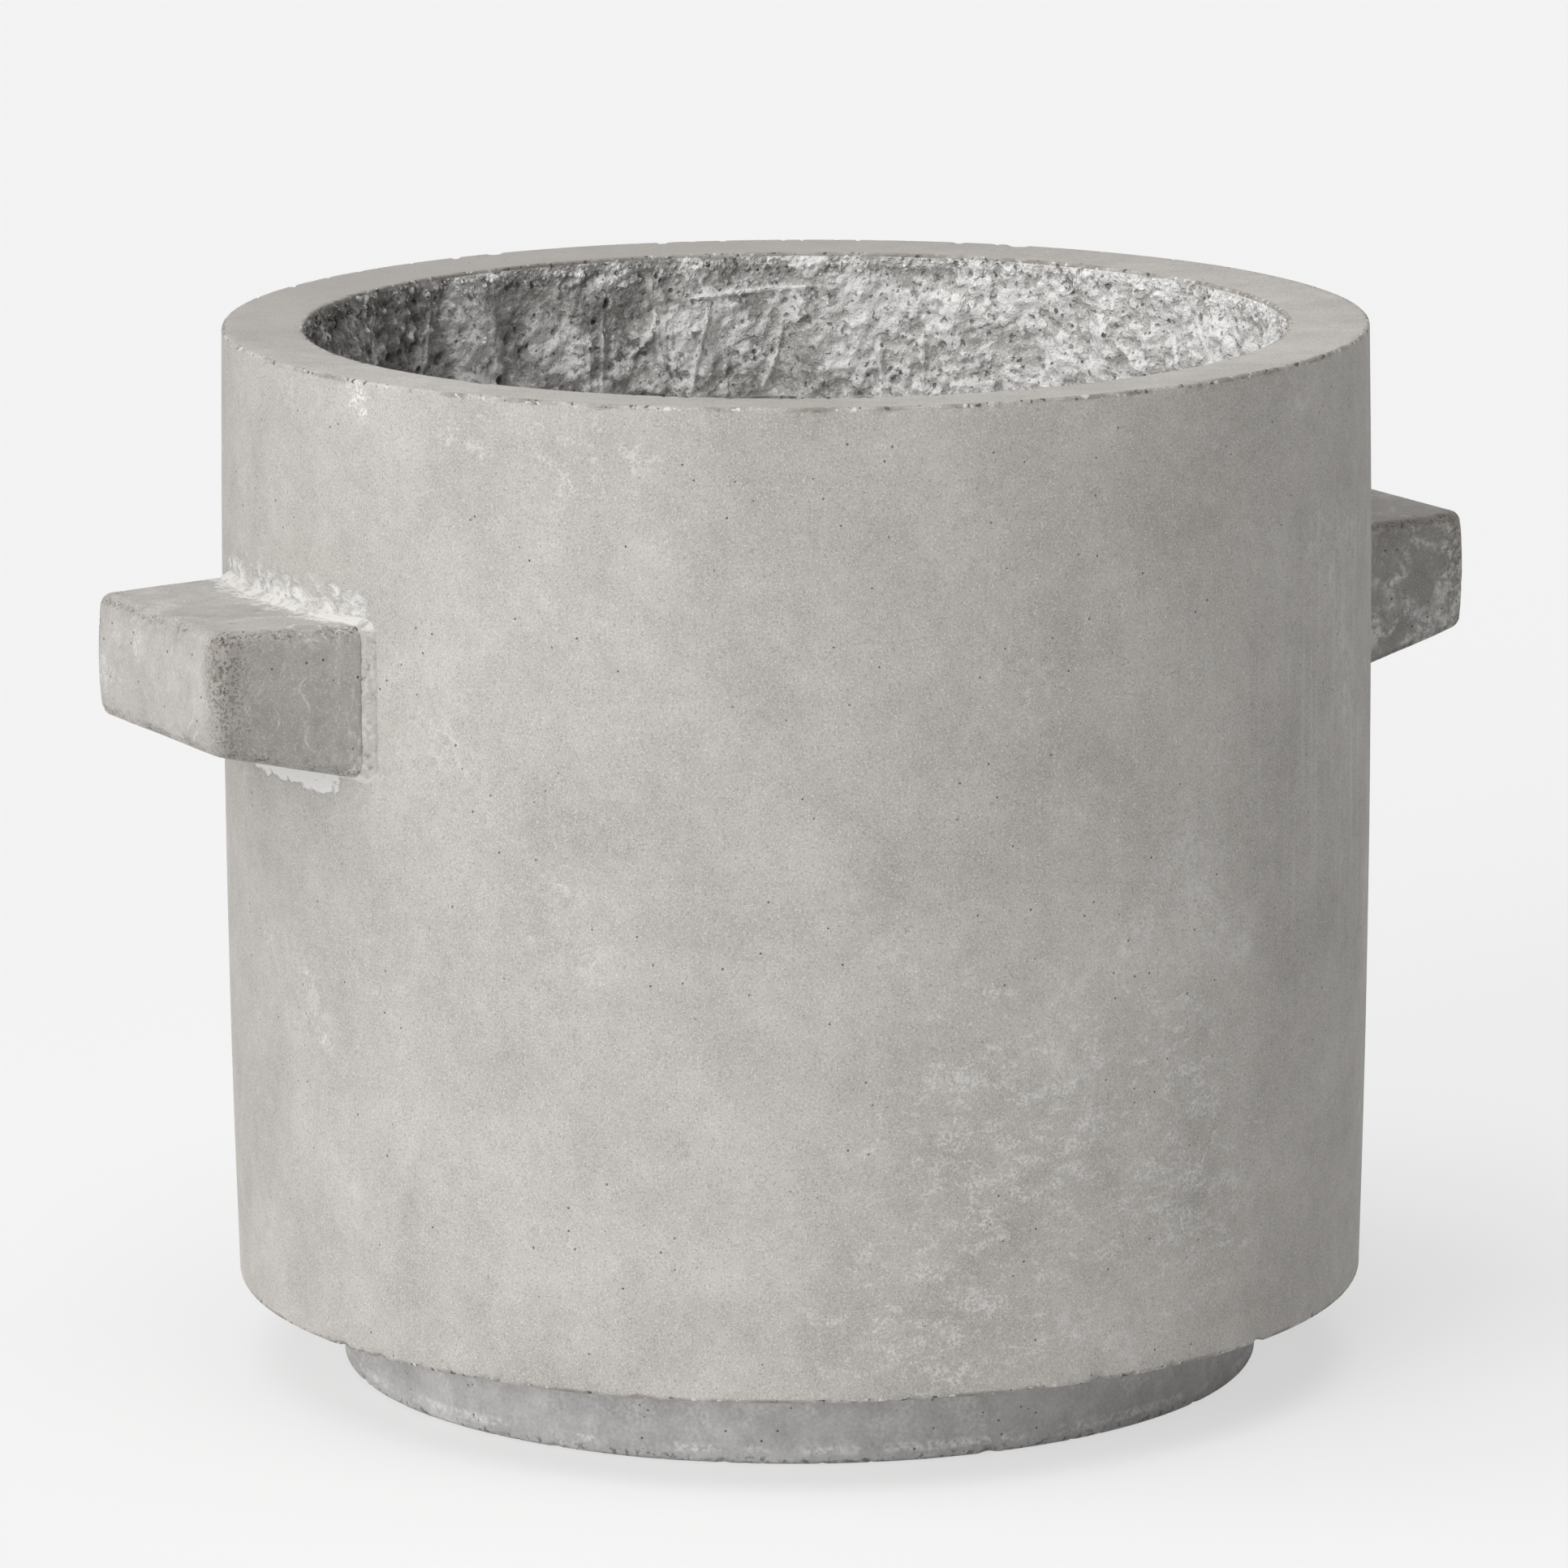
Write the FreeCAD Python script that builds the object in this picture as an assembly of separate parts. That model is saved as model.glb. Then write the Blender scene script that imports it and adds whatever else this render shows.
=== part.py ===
import FreeCAD, Part
import math
import os

# Cast concrete flower pot: a barrelled drum with a rough inner lining, two tapered lug handles
# bedded on mortar, a recessed foot and a plugged drain. Millimetres, +Z up, the lugs along X.
# The origin is the middle of the foot's underside.

# Drum
pot_height = 369.0
rim_radius = 200.0
belly_swell = 1.3
base_draft = 1.2
base_round = 1.8
floor_thickness = 30.0

# Rim, which slopes a little inwards and keeps a smooth lip over the lining
rim_width = 28.5
rim_fall = 1.0
rim_outer_round = 1.5
rim_inner_round = 1.2
lip_depth = 5.0

# Lining packed against the inside of the wall
lining_thickness = 12.0
lining_draft = 2.5

# Folds down the lining, as the packing hand left them: ribs that stand in and hollows between them
fold_radius = 16.0
fold_top_cover = 8.0
rib_top_rise = 2.5
rib_foot_rise = 4.0
hollow_depth = 2.5
rib_angles = (128, 105, 88, 74, 59, 41, 20, 0, -20, -44, -68, -97, -118, -148, -174)
hollow_angles = (145, 121, 110, 98, 81, 64, 50, 31, 10, -10, -32, -57, -80, -105, -128, -164)

# Wire reinforcement between wall and lining
wire_diameter = 4.0
hoop_level_shares = (0.15, 0.5, 0.85)
upright_count = 8
upright_end_cover = 22.0

# Lug handles, with a level top and a rising underside
lug_length = 49.0
lug_drop = 82.0
lug_root_width = 114.0
lug_end_width = 96.0
lug_root_depth = 54.0
lug_end_depth = 42.0
lug_corner_round = 7.0
lug_edge_round = 4.5

# Bedding mortar, struck off as a bevelled bead round each lug
lug_bed = 3.0
bead_width = 3.5
bead_height = 4.5
bead_bevel = 3.3
foot_bed = 2.5
foot_bed_setback = 5.0

# Foot
foot_height = 29.0
foot_setback = 33.2
foot_draft = 3.6
foot_base_round = 2.5

# Steel dowels across the lug and foot joints
dowel_diameter = 10.0
lug_dowel_spacing = 56.0
lug_dowel_in_wall = 13.0
lug_dowel_in_lug = 24.0
foot_dowel_count = 3
foot_dowel_inset = 55.6
foot_dowel_in_floor = 15.0
foot_dowel_in_foot = 20.0

# Drain sleeve, with its flange let into the floor
sleeve_bore = 30.0
sleeve_wall = 2.0
sleeve_flange_diameter = 48.0
sleeve_flange_thickness = 3.0
sleeve_recess = 2.0

# Drain plug, a tapered bung with a head and a grip
plug_length = 26.0
plug_taper = 1.5
plug_head_diameter = 42.0
plug_head_thickness = 4.0
plug_neck_diameter = 11.0
plug_neck_height = 6.0
plug_knob_diameter = 20.0
plug_knob_height = 8.0
plug_edge_round = 1.5

# Clearances, the overrun of every cut and the tolerance that picks edges
cast_gap = 0.2
plug_gap = 0.3
overrun = 5.0
pick_tolerance = 0.01

# Levels and radii that follow from the sizes above
belly_radius = rim_radius + belly_swell
base_radius = rim_radius - base_draft
foot_top_radius = base_radius - foot_setback
foot_base_radius = foot_top_radius - foot_draft
foot_dowel_circle_radius = foot_top_radius - foot_dowel_inset
lug_reach = rim_radius + lug_length
lug_top = pot_height - lug_drop
drum_bottom = foot_height + foot_bed
drum_middle = (drum_bottom + pot_height) / 2
floor_top = drum_bottom + floor_thickness
lip_radius = rim_radius - rim_width
lip_top = pot_height - rim_fall
lip_bottom = lip_top - lip_depth
wall_inner_radius = lip_radius + lining_thickness
wire_radius = wire_diameter / 2
dowel_radius = dowel_diameter / 2
sleeve_inner_radius = sleeve_bore / 2
sleeve_radius = sleeve_inner_radius + sleeve_wall
sleeve_flange_radius = sleeve_flange_diameter / 2
drain_radius = sleeve_radius + cast_gap
lug_root_reach = math.sqrt(belly_radius ** 2 - (lug_root_width / 2) ** 2)
lug_dowel_level = lug_top - (lug_root_depth + lug_end_depth) / 4

ORIGIN = FreeCAD.Vector(0, 0, 0)
ACROSS = FreeCAD.Vector(1, 0, 0)
UP = FreeCAD.Vector(0, 0, 1)
FULL_TURN = 360
HALF_TURN = 180
# Turns the seam of a round face away from the lugs
SEAM_TURN = 90


def point(radius, level):
    """A point of a turned outline."""
    return FreeCAD.Vector(radius, 0, level)


def straight_run(points):
    """Straight edges through the points, in order."""
    return [Part.LineSegment(start, end).toShape() for start, end in zip(points, points[1:])]


def turned(edges):
    """The solid that a closed outline sweeps about the pot's axis."""
    face = Part.Face(Part.Wire(edges))
    return face.revolve(ORIGIN, UP, FULL_TURN)


def ring_edges(solid, radius, level):
    """The round edges of a turned solid at one radius and level."""
    found = []
    for edge in solid.Edges:
        if not isinstance(edge.Curve, Part.Circle):
            continue
        at_radius = abs(edge.Curve.Radius - radius) < pick_tolerance
        if at_radius and abs(edge.Curve.Center.z - level) < pick_tolerance:
            found.append(edge)
    return found


def rounded_ring(solid, radius, level, rounding):
    """The solid with one round edge eased."""
    return solid.makeFillet(rounding, ring_edges(solid, radius, level))


def upright_rod(radius, x, y, low, high):
    return Part.makeCylinder(radius, high - low, FreeCAD.Vector(x, y, low), UP)


def cross_rod(radius, y, level, near, far):
    return Part.makeCylinder(radius, far - near, FreeCAD.Vector(near, y, level), ACROSS)


def opposite(solid):
    """The same piece on the other side of the pot."""
    turned_copy = solid.copy()
    turned_copy.rotate(ORIGIN, UP, HALF_TURN)
    return turned_copy


def barrel_edge(offset):
    """The drum's outer line, a shallow arc, set out by an offset."""
    bottom = point(base_radius + offset, drum_bottom)
    belly = point(belly_radius + offset, drum_middle)
    top = point(rim_radius + offset, pot_height)
    return Part.Arc(bottom, belly, top).toShape()


def barrel_core(offset):
    """A solid drum whose face is set out from the pot's wall by an offset."""
    top_run = straight_run([point(rim_radius + offset, pot_height), point(0, pot_height), point(0, drum_bottom)])
    bottom_run = straight_run([point(0, drum_bottom), point(base_radius + offset, drum_bottom)])
    core = turned([barrel_edge(offset)] + top_run + bottom_run)
    core.rotate(ORIGIN, UP, SEAM_TURN)
    return core


def around_foot_dowels():
    """Where the foot dowels stand, as X and Y pairs."""
    places = []
    for index in range(foot_dowel_count):
        angle = 2 * math.pi * index / foot_dowel_count + math.pi / 2
        x = foot_dowel_circle_radius * math.cos(angle)
        y = foot_dowel_circle_radius * math.sin(angle)
        places.append((x, y))
    return places


def foot_dowel_rods(radius, end_gap):
    low = foot_height - foot_dowel_in_foot - end_gap
    high = drum_bottom + foot_dowel_in_floor + end_gap
    return [upright_rod(radius, x, y, low, high) for x, y in around_foot_dowels()]


def lug_dowel_rods(radius, end_gap):
    """The two rods of the lug on the +X side."""
    side = lug_dowel_spacing / 2
    face = math.sqrt(belly_radius ** 2 - side ** 2)
    near = face - lug_dowel_in_wall - end_gap
    far = face + lug_bed + lug_dowel_in_lug + end_gap
    return [cross_rod(radius, y, lug_dowel_level, near, far) for y in (-side, side)]


def both_lug_dowel_holes():
    holes = lug_dowel_rods(dowel_radius + cast_gap, cast_gap)
    return holes + [opposite(hole) for hole in holes]


def pot_shell():
    """The drum's wall, rim and floor in one casting, with the lip undercut to key the lining."""
    outline = [
        point(rim_radius, pot_height),
        point(lip_radius, lip_top),
        point(lip_radius, lip_bottom),
        point(wall_inner_radius, lip_bottom - lining_thickness),
        point(wall_inner_radius, floor_top),
        point(sleeve_flange_radius + cast_gap, floor_top),
        point(sleeve_flange_radius + cast_gap, floor_top - sleeve_flange_thickness),
        point(drain_radius, floor_top - sleeve_flange_thickness),
        point(drain_radius, drum_bottom),
        point(base_radius, drum_bottom),
    ]
    shell = turned([barrel_edge(0)] + straight_run(outline))
    shell = rounded_ring(shell, rim_radius, pot_height, rim_outer_round)
    shell = rounded_ring(shell, lip_radius, lip_top, rim_inner_round)
    shell = rounded_ring(shell, base_radius, drum_bottom, base_round)
    return shell.cut(both_lug_dowel_holes() + foot_dowel_rods(dowel_radius + cast_gap, cast_gap))


def hoop_levels():
    height = lip_bottom - lining_thickness - floor_top
    return [floor_top + height * share for share in hoop_level_shares]


def hoop_radius():
    return wall_inner_radius - 2 * cast_gap - wire_radius


def upright_circle():
    return hoop_radius() - wire_diameter - cast_gap


def upright_angles():
    return [FULL_TURN * (index + 1 / 2) / upright_count for index in range(upright_count)]


def hoop_groove(level):
    """A square groove in the lining's back that holds one hoop."""
    depth = wire_diameter + 2 * cast_gap
    inner = wall_inner_radius - cast_gap - depth
    ring = Part.makeCylinder(wall_inner_radius + overrun, depth, point(0, level - depth / 2), UP)
    return ring.cut(Part.makeCylinder(inner, depth, point(0, level - depth / 2), UP))


def upright_groove(angle):
    """A square groove in the lining's back, deep enough to pass behind the hoops."""
    width = wire_diameter + 2 * cast_gap
    inner = upright_circle() - wire_radius - cast_gap
    low = floor_top + upright_end_cover - cast_gap
    high = lip_bottom - lining_thickness - upright_end_cover + cast_gap
    corner = FreeCAD.Vector(inner, -width / 2, low)
    groove = Part.makeBox(wall_inner_radius + overrun - inner, width, high - low, corner, UP)
    groove.rotate(ORIGIN, UP, angle)
    return groove


def fold_rod(angle, axis_top, axis_foot):
    """A rod down the lining's inner face, given by the radius of its axis at the lip and at the floor."""
    foot = point(axis_foot, floor_top)
    way = point(axis_top, lip_bottom).sub(foot)
    start = foot.sub(FreeCAD.Vector(way).normalize().multiply(overrun))
    rod = Part.makeCylinder(fold_radius, way.Length + 2 * overrun, start, way)
    rod.rotate(ORIGIN, UP, angle)
    return rod


def fold_zone(outer, low):
    """The round of the pot's inside that the folds keep to, up to their cover under the lip."""
    return Part.makeCylinder(outer, lip_bottom - fold_top_cover - low, point(0, low), UP)


def lining_ribs():
    """Ribs that stand in from the face, rooted a little way inside the lining."""
    axis_top = lip_radius - rib_top_rise + fold_radius
    axis_foot = lip_radius - lining_draft - rib_foot_rise + fold_radius
    zone = fold_zone(lip_radius + wire_radius, floor_top)
    return [fold_rod(angle, axis_top, axis_foot).common(zone) for angle in rib_angles]


def lining_hollows():
    """Rods that cut the hollows out of the face."""
    axis_top = lip_radius + hollow_depth - fold_radius
    zone = fold_zone(lip_radius + fold_radius, floor_top - overrun)
    return [fold_rod(angle, axis_top, axis_top - lining_draft).common(zone) for angle in hollow_angles]


def inner_lining():
    """The rough layer packed over the wires, with its main folds; it thickens a little downwards."""
    back = wall_inner_radius - cast_gap
    outline = [
        point(lip_radius, lip_bottom - cast_gap),
        point(back, lip_bottom - lining_thickness),
        point(back, floor_top),
        point(lip_radius - lining_draft, floor_top),
        point(lip_radius, lip_bottom - cast_gap),
    ]
    lining = turned(straight_run(outline)).cut(lining_hollows()).fuse(lining_ribs())
    grooves = [hoop_groove(level) for level in hoop_levels()]
    grooves += [upright_groove(angle) for angle in upright_angles()]
    return lining.cut(grooves).removeSplitter()


def lining_hoops():
    return Part.makeCompound([
        Part.makeTorus(hoop_radius(), wire_radius, point(0, level), UP) for level in hoop_levels()
    ])


def lining_uprights():
    low = floor_top + upright_end_cover
    high = lip_bottom - lining_thickness - upright_end_cover
    rods = []
    for angle in upright_angles():
        rod = upright_rod(wire_radius, upright_circle(), 0, low, high)
        rod.rotate(ORIGIN, UP, angle)
        rods.append(rod)
    return Part.makeCompound(rods)


def prism(corners, sweep):
    """A flat polygon swept along a vector."""
    return Part.Face(Part.makePolygon(corners + corners[:1])).extrude(sweep)


def lug_taper(margin):
    """The plain tapered block of the +X lug, run into the wall and grown all round by a margin."""
    run = lug_reach - lug_root_reach
    root = lug_root_reach - overrun
    root_side = lug_root_width / 2 + margin + (lug_root_width - lug_end_width) / 2 * overrun / run
    end_side = lug_end_width / 2 + margin
    top = lug_top + margin
    root_bottom = lug_top - lug_root_depth - margin - (lug_root_depth - lug_end_depth) * overrun / run
    end_bottom = lug_top - lug_end_depth - margin
    plan = prism([
        FreeCAD.Vector(root, -root_side, root_bottom),
        FreeCAD.Vector(lug_reach, -end_side, root_bottom),
        FreeCAD.Vector(lug_reach, end_side, root_bottom),
        FreeCAD.Vector(root, root_side, root_bottom),
    ], FreeCAD.Vector(0, 0, top - root_bottom))
    elevation = prism([
        FreeCAD.Vector(root, -root_side, root_bottom),
        FreeCAD.Vector(lug_reach, -root_side, end_bottom),
        FreeCAD.Vector(lug_reach, -root_side, top),
        FreeCAD.Vector(root, -root_side, top),
    ], FreeCAD.Vector(0, 2 * root_side, 0))
    return plan.common(elevation)


def lug_block():
    """The tapered block with its end corners and its free edges eased."""
    block = lug_taper(0)
    corners = []
    for edge in block.Edges:
        box = edge.BoundBox
        if box.XMin > lug_reach - pick_tolerance and box.ZLength > lug_end_depth / 2:
            corners.append(edge)
    block = block.makeFillet(lug_corner_round, corners)
    edges = []
    for edge in block.Edges:
        box = edge.BoundBox
        at_top = box.ZMin > lug_top - pick_tolerance
        at_root = box.XMax < lug_root_reach + pick_tolerance
        along_bottom = box.ZMax < lug_top - lug_end_depth + pick_tolerance
        if (at_top or along_bottom) and not at_root:
            edges.append(edge)
    return block.makeFillet(lug_edge_round, edges)


def right_lug():
    """The +X lug, hollowed to sit on its mortar and drilled for its dowels."""
    seat = barrel_core(lug_bed + cast_gap)
    return lug_block().cut([seat] + lug_dowel_rods(dowel_radius + cast_gap, cast_gap))


def bead_block():
    """The lug's taper grown by the bead, with its long edges rounded about the lug's own."""
    block = lug_taper(bead_width)
    long_edges = [edge for edge in block.Edges if edge.BoundBox.XLength > pick_tolerance]
    return block.makeFillet(lug_edge_round + bead_width, long_edges)


def right_lug_mortar():
    """The +X bed: a saddle between wall and lug, with a bevelled bead round the lug's root."""
    plate = bead_block().common(barrel_core(bead_height)).cut(barrel_core(cast_gap))
    face = max(plate.Faces, key=lambda candidate: candidate.CenterOfMass.x)
    plate = plate.makeChamfer(bead_bevel, face.Edges)
    lug_space = lug_block().cut(barrel_core(lug_bed))
    return plate.cut([lug_space] + lug_dowel_rods(dowel_radius + cast_gap, cast_gap))


def right_lug_dowels():
    return Part.makeCompound(lug_dowel_rods(dowel_radius, 0))


def foot_plinth():
    outline = [
        point(drain_radius, 0),
        point(foot_base_radius, 0),
        point(foot_top_radius, foot_height),
        point(drain_radius, foot_height),
        point(drain_radius, 0),
    ]
    foot = rounded_ring(turned(straight_run(outline)), foot_base_radius, 0, foot_base_round)
    return foot.cut(foot_dowel_rods(dowel_radius + cast_gap, cast_gap))


def foot_mortar():
    bed_radius = foot_top_radius - foot_bed_setback
    bed = upright_rod(bed_radius, 0, 0, foot_height, drum_bottom)
    hole = upright_rod(drain_radius, 0, 0, foot_height - overrun, drum_bottom + overrun)
    return bed.cut([hole] + foot_dowel_rods(dowel_radius + cast_gap, cast_gap))


def foot_dowels():
    return Part.makeCompound(foot_dowel_rods(dowel_radius, 0))


def drain_sleeve():
    flange_bottom = floor_top - sleeve_flange_thickness
    outline = [
        point(sleeve_inner_radius, sleeve_recess),
        point(sleeve_radius, sleeve_recess),
        point(sleeve_radius, flange_bottom),
        point(sleeve_flange_radius, flange_bottom),
        point(sleeve_flange_radius, floor_top),
        point(sleeve_inner_radius, floor_top),
        point(sleeve_inner_radius, sleeve_recess),
    ]
    return turned(straight_run(outline))


def drain_plug():
    """A bung whose head rests on the sleeve's flange, with a neck and a knob to pull it by."""
    body_radius = sleeve_inner_radius - plug_gap
    head_top = floor_top + plug_head_thickness
    knob_bottom = head_top + plug_neck_height
    knob_top = knob_bottom + plug_knob_height
    outline = [
        point(0, floor_top - plug_length),
        point(body_radius - plug_taper, floor_top - plug_length),
        point(body_radius, floor_top),
        point(plug_head_diameter / 2, floor_top),
        point(plug_head_diameter / 2, head_top),
        point(plug_neck_diameter / 2, head_top),
        point(plug_neck_diameter / 2, knob_bottom),
        point(plug_knob_diameter / 2, knob_bottom),
        point(plug_knob_diameter / 2, knob_top),
        point(0, knob_top),
        point(0, floor_top - plug_length),
    ]
    plug = turned(straight_run(outline))
    plug = rounded_ring(plug, plug_head_diameter / 2, head_top, plug_edge_round)
    plug = rounded_ring(plug, plug_knob_diameter / 2, knob_bottom, plug_edge_round)
    plug = rounded_ring(plug, plug_knob_diameter / 2, knob_top, plug_edge_round)
    return rounded_ring(plug, body_radius - plug_taper, floor_top - plug_length, plug_edge_round)


def main():
    lug = right_lug()
    mortar = right_lug_mortar()
    dowels = right_lug_dowels()
    nodes = {
        "pot_shell": pot_shell(),
        "inner_lining": inner_lining(),
        "lining_hoops": lining_hoops(),
        "lining_uprights": lining_uprights(),
        "right_lug": lug,
        "left_lug": opposite(lug),
        "right_lug_mortar": mortar,
        "left_lug_mortar": opposite(mortar),
        "right_lug_dowels": dowels,
        "left_lug_dowels": opposite(dowels),
        "foot_plinth": foot_plinth(),
        "foot_mortar": foot_mortar(),
        "foot_dowels": foot_dowels(),
        "drain_sleeve": drain_sleeve(),
        "drain_plug": drain_plug(),
    }
    os.makedirs("parts", exist_ok=True)
    for name, shape in nodes.items():
        shape.exportStep(f"parts/{name}.step")
        print(name, len(shape.Solids), shape.isValid(), round(shape.Volume, 1))


main()
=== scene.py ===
"""Cast concrete flower pot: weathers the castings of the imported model, finishes them and sets a stage."""

import math

import bmesh
import bpy
import numpy as np
from mathutils import Matrix, Vector


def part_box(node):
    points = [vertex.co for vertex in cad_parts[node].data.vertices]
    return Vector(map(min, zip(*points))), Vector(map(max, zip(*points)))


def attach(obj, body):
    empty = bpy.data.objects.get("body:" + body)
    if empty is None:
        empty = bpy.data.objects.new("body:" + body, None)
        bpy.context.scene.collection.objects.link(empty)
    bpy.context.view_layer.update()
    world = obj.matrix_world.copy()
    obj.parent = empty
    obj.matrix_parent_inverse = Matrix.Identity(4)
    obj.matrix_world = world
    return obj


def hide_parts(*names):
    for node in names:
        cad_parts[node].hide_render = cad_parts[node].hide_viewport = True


bl_info = {
    "name": "Cast concrete flower pot",
    "version": (1, 0, 0),
    "blender": (4, 5, 0),
    "location": "3D View > Sidebar > Flower Pot",
    "description": "Weathers the castings of a concrete flower pot, finishes them and sets a pale stage",
    "category": "Object",
}

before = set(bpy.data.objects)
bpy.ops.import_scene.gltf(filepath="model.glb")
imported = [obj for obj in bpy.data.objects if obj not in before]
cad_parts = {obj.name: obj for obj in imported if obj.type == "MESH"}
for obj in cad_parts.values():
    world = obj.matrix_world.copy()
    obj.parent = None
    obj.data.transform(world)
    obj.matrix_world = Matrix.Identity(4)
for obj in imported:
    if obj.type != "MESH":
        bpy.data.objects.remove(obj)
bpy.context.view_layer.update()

MM = 0.001
FULL_TURN = 2 * math.pi
QUARTER_TURN = math.pi / 2

# Sockets of the Mix and Random Value nodes that share a name
MIX_A, MIX_B, MIX_COLOUR = 6, 7, 2
RANDOM_LOW, RANDOM_HIGH, RANDOM_SEED = 0, 1, 8

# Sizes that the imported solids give
shell_low, shell_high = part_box("pot_shell")
lining_low, lining_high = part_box("inner_lining")
foot_low, foot_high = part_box("foot_plinth")
sleeve_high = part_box("drain_sleeve")[1]
plug_low, plug_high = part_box("drain_plug")
lug_low, lug_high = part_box("right_lug")

# Drum, rim and lining
belly_swell = 1.35 * MM
belly_inset = 0.12 * MM
base_draft = 1.2 * MM
base_round = 1.6 * MM
rim_width = 28.5 * MM
rim_fall = 1 * MM
rim_outer_round = 1.3 * MM
rim_inner_round = 1 * MM
lining_draft = 2.5 * MM
ledge_rise = 12 * MM
drain_gap = 2.2 * MM
flange_thickness = 3 * MM
plug_head_lap = 6.3 * MM
cast_gap = 0.2 * MM
drum_bottom = shell_low.z
drum_top = shell_high.z
drum_middle = (drum_bottom + drum_top) / 2
belly_radius = shell_high.x
rim_radius = belly_radius - belly_swell
base_radius = rim_radius - base_draft
lip_radius = rim_radius - rim_width
lip_top = drum_top - rim_fall
lip_bottom = lining_high.z
floor_top = lining_low.z
wall_inner_radius = lining_high.x
flange_radius = sleeve_high.x
sleeve_bore_radius = plug_high.x - plug_head_lap
drain_radius = sleeve_bore_radius + drain_gap

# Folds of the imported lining
fold_radius = 16 * MM
fold_top_cover = 8 * MM
fold_fade = 10 * MM
rib_top_rise = 2.5 * MM
rib_foot_rise = 4 * MM
hollow_depth = 2.5 * MM
rib_angles = (128, 105, 88, 74, 59, 41, 20, 0, -20, -44, -68, -97, -118, -148, -174)
hollow_angles = (145, 121, 110, 98, 81, 64, 50, 31, 10, -10, -32, -57, -80, -105, -128, -164)

# Foot
foot_draft = 3.6 * MM
foot_round = 2.5 * MM
foot_top_radius = foot_high.x

# Lug handles
lug_root_width = 114 * MM
lug_end_width = 96 * MM
lug_root_depth = 54 * MM
lug_end_depth = 42 * MM
lug_root_reach = 193 * MM
lug_edge_round = 4.5 * MM
lug_bed = 3 * MM
bead_height = 4.5 * MM

# Station spacing along the turned outlines, and other mesh sizes
edge_step = 0.6 * MM
near_edge_step = 1.3 * MM
near_edge_zone = 9 * MM
wall_step = 24 * MM
rim_step = 2.6 * MM
floor_step = 12 * MM
hidden_step = 60 * MM
lining_top_step = 0.85 * MM
lining_low_step = 2.7 * MM
lining_top_zone = 54 * MM
lining_lap = 2 * MM
lining_low_share = 0.42
weld = 0.001 * MM

# Camera of the photograph, fitted to the drum and the lugs
camera_lens = 210
camera_sensor = 36
camera_far = 100
camera_back = 3157 * MM
camera_aside = -4.74 * MM
camera_height = 836.8 * MM
camera_pitch = 0.198
camera_roll = -0.0043
view_turn = math.radians(-28.54)
facing_angle = view_turn - QUARTER_TURN


def linear(code):
    """Linear red, green and blue of an sRGB hex colour."""
    parts = [int(code[index:index + 2], 16) / 255 for index in (1, 3, 5)]
    return tuple(part / 12.92 if part <= 0.04045 else ((part + 0.055) / 1.055) ** 2.4 for part in parts)


def tint(label, text, code):
    return bpy.props.FloatVectorProperty(
        name=label, description=text, subtype="COLOR", size=3, min=0, max=1, default=linear(code),
    )


def length(label, text, default):
    return bpy.props.FloatProperty(name=label, description=text, default=default, subtype="DISTANCE")


class PotSizes(bpy.types.PropertyGroup):
    """Depths and sizes of the wear on the castings"""
    drum_segments: bpy.props.IntProperty(
        name="Drum segments", description="Faces round the drum", default=1080, min=64)
    lining_segments: bpy.props.IntProperty(
        name="Lining segments", description="Faces round the lining", default=1440, min=64)
    foot_segments: bpy.props.IntProperty(
        name="Foot segments", description="Faces round the foot", default=900, min=64)
    plug_segments: bpy.props.IntProperty(
        name="Plug segments", description="Faces round the plug", default=128, min=32)
    wave_depth: length("Wave depth", "Unevenness of a struck or cast face", 0.25 * MM)
    chip_depth: length("Chip depth", "Depth of the chips along a cast edge", 0.8 * MM)
    knock_depth: length("Knock depth", "Depth of the larger knocks on a cast edge", 1.6 * MM)
    lump_depth: length("Lump depth", "Relief of the lumps in the packed lining", 3 * MM)
    crumb_size: length("Crumb size", "Half the width of the largest loose crumb", 1.3 * MM)
    lug_voxel: length("Lug face size", "Width of the lug's small faces", 0.8 * MM)
    mortar_voxel: length("Mortar face size", "Width of the mortar's small faces", 0.7 * MM)


class PotColours(bpy.types.PropertyGroup):
    """Colours of the finishes"""
    face_light: tint("Face, light", "Pale cement paste on the drum", "#CBC7C2")
    face_dark: tint("Face, dark", "Denser paste on the drum", "#A5A19C")
    lime: tint("Lime", "Lime bloom and scuffs", "#EEEDEB")
    pore: tint("Pore", "Shaded air holes", "#3E3B38")
    worn: tint("Worn edge", "Sandy aggregate on chipped edges", "#8D857B")
    lug_light: tint("Lug, light", "Pale paste on the lugs", "#CBC7C2")
    lug_dark: tint("Lug, dark", "Denser paste on the lugs", "#A19D98")
    # This colour is also painted shade: it darkens the whole right lug, which stands in the drum's shade, and
    # the lugs' sides and tops
    damp_and_shade: tint("Damp", "Paste that dried slowly", "#85827F")
    foot_light: tint("Foot, light", "Pale paste on the foot", "#D2D0CF")
    foot_dark: tint("Foot, dark", "Damp paste on the foot", "#A6A5A5")
    lining_light: tint("Lining, light", "Lime-rich paste in the lining", "#E2E0DD")
    lining_dark: tint("Lining, dark", "Dense paste in the lining", "#817F7C")
    film: tint("Lime film", "Wet-looking lime skin in the lining", "#F8F7F5")
    mortar_light: tint("Mortar, light", "Lime in the bedding mortar", "#E0DEDB")
    mortar_dark: tint("Mortar, dark", "Sand in the bedding mortar", "#B4B0AB")
    steel: tint("Steel", "Drawn bar under mill scale", "#8C8984")
    rust: tint("Rust", "Flash rust on the bar", "#6E5A4B")
    plastic: tint("Plastic", "Grey tube", "#8F9294")
    rubber: tint("Rubber", "Moulded rubber", "#2B2B2C")
    floor: tint("Floor", "Pale stage", "#FAFAFA")


# Node trees


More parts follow.
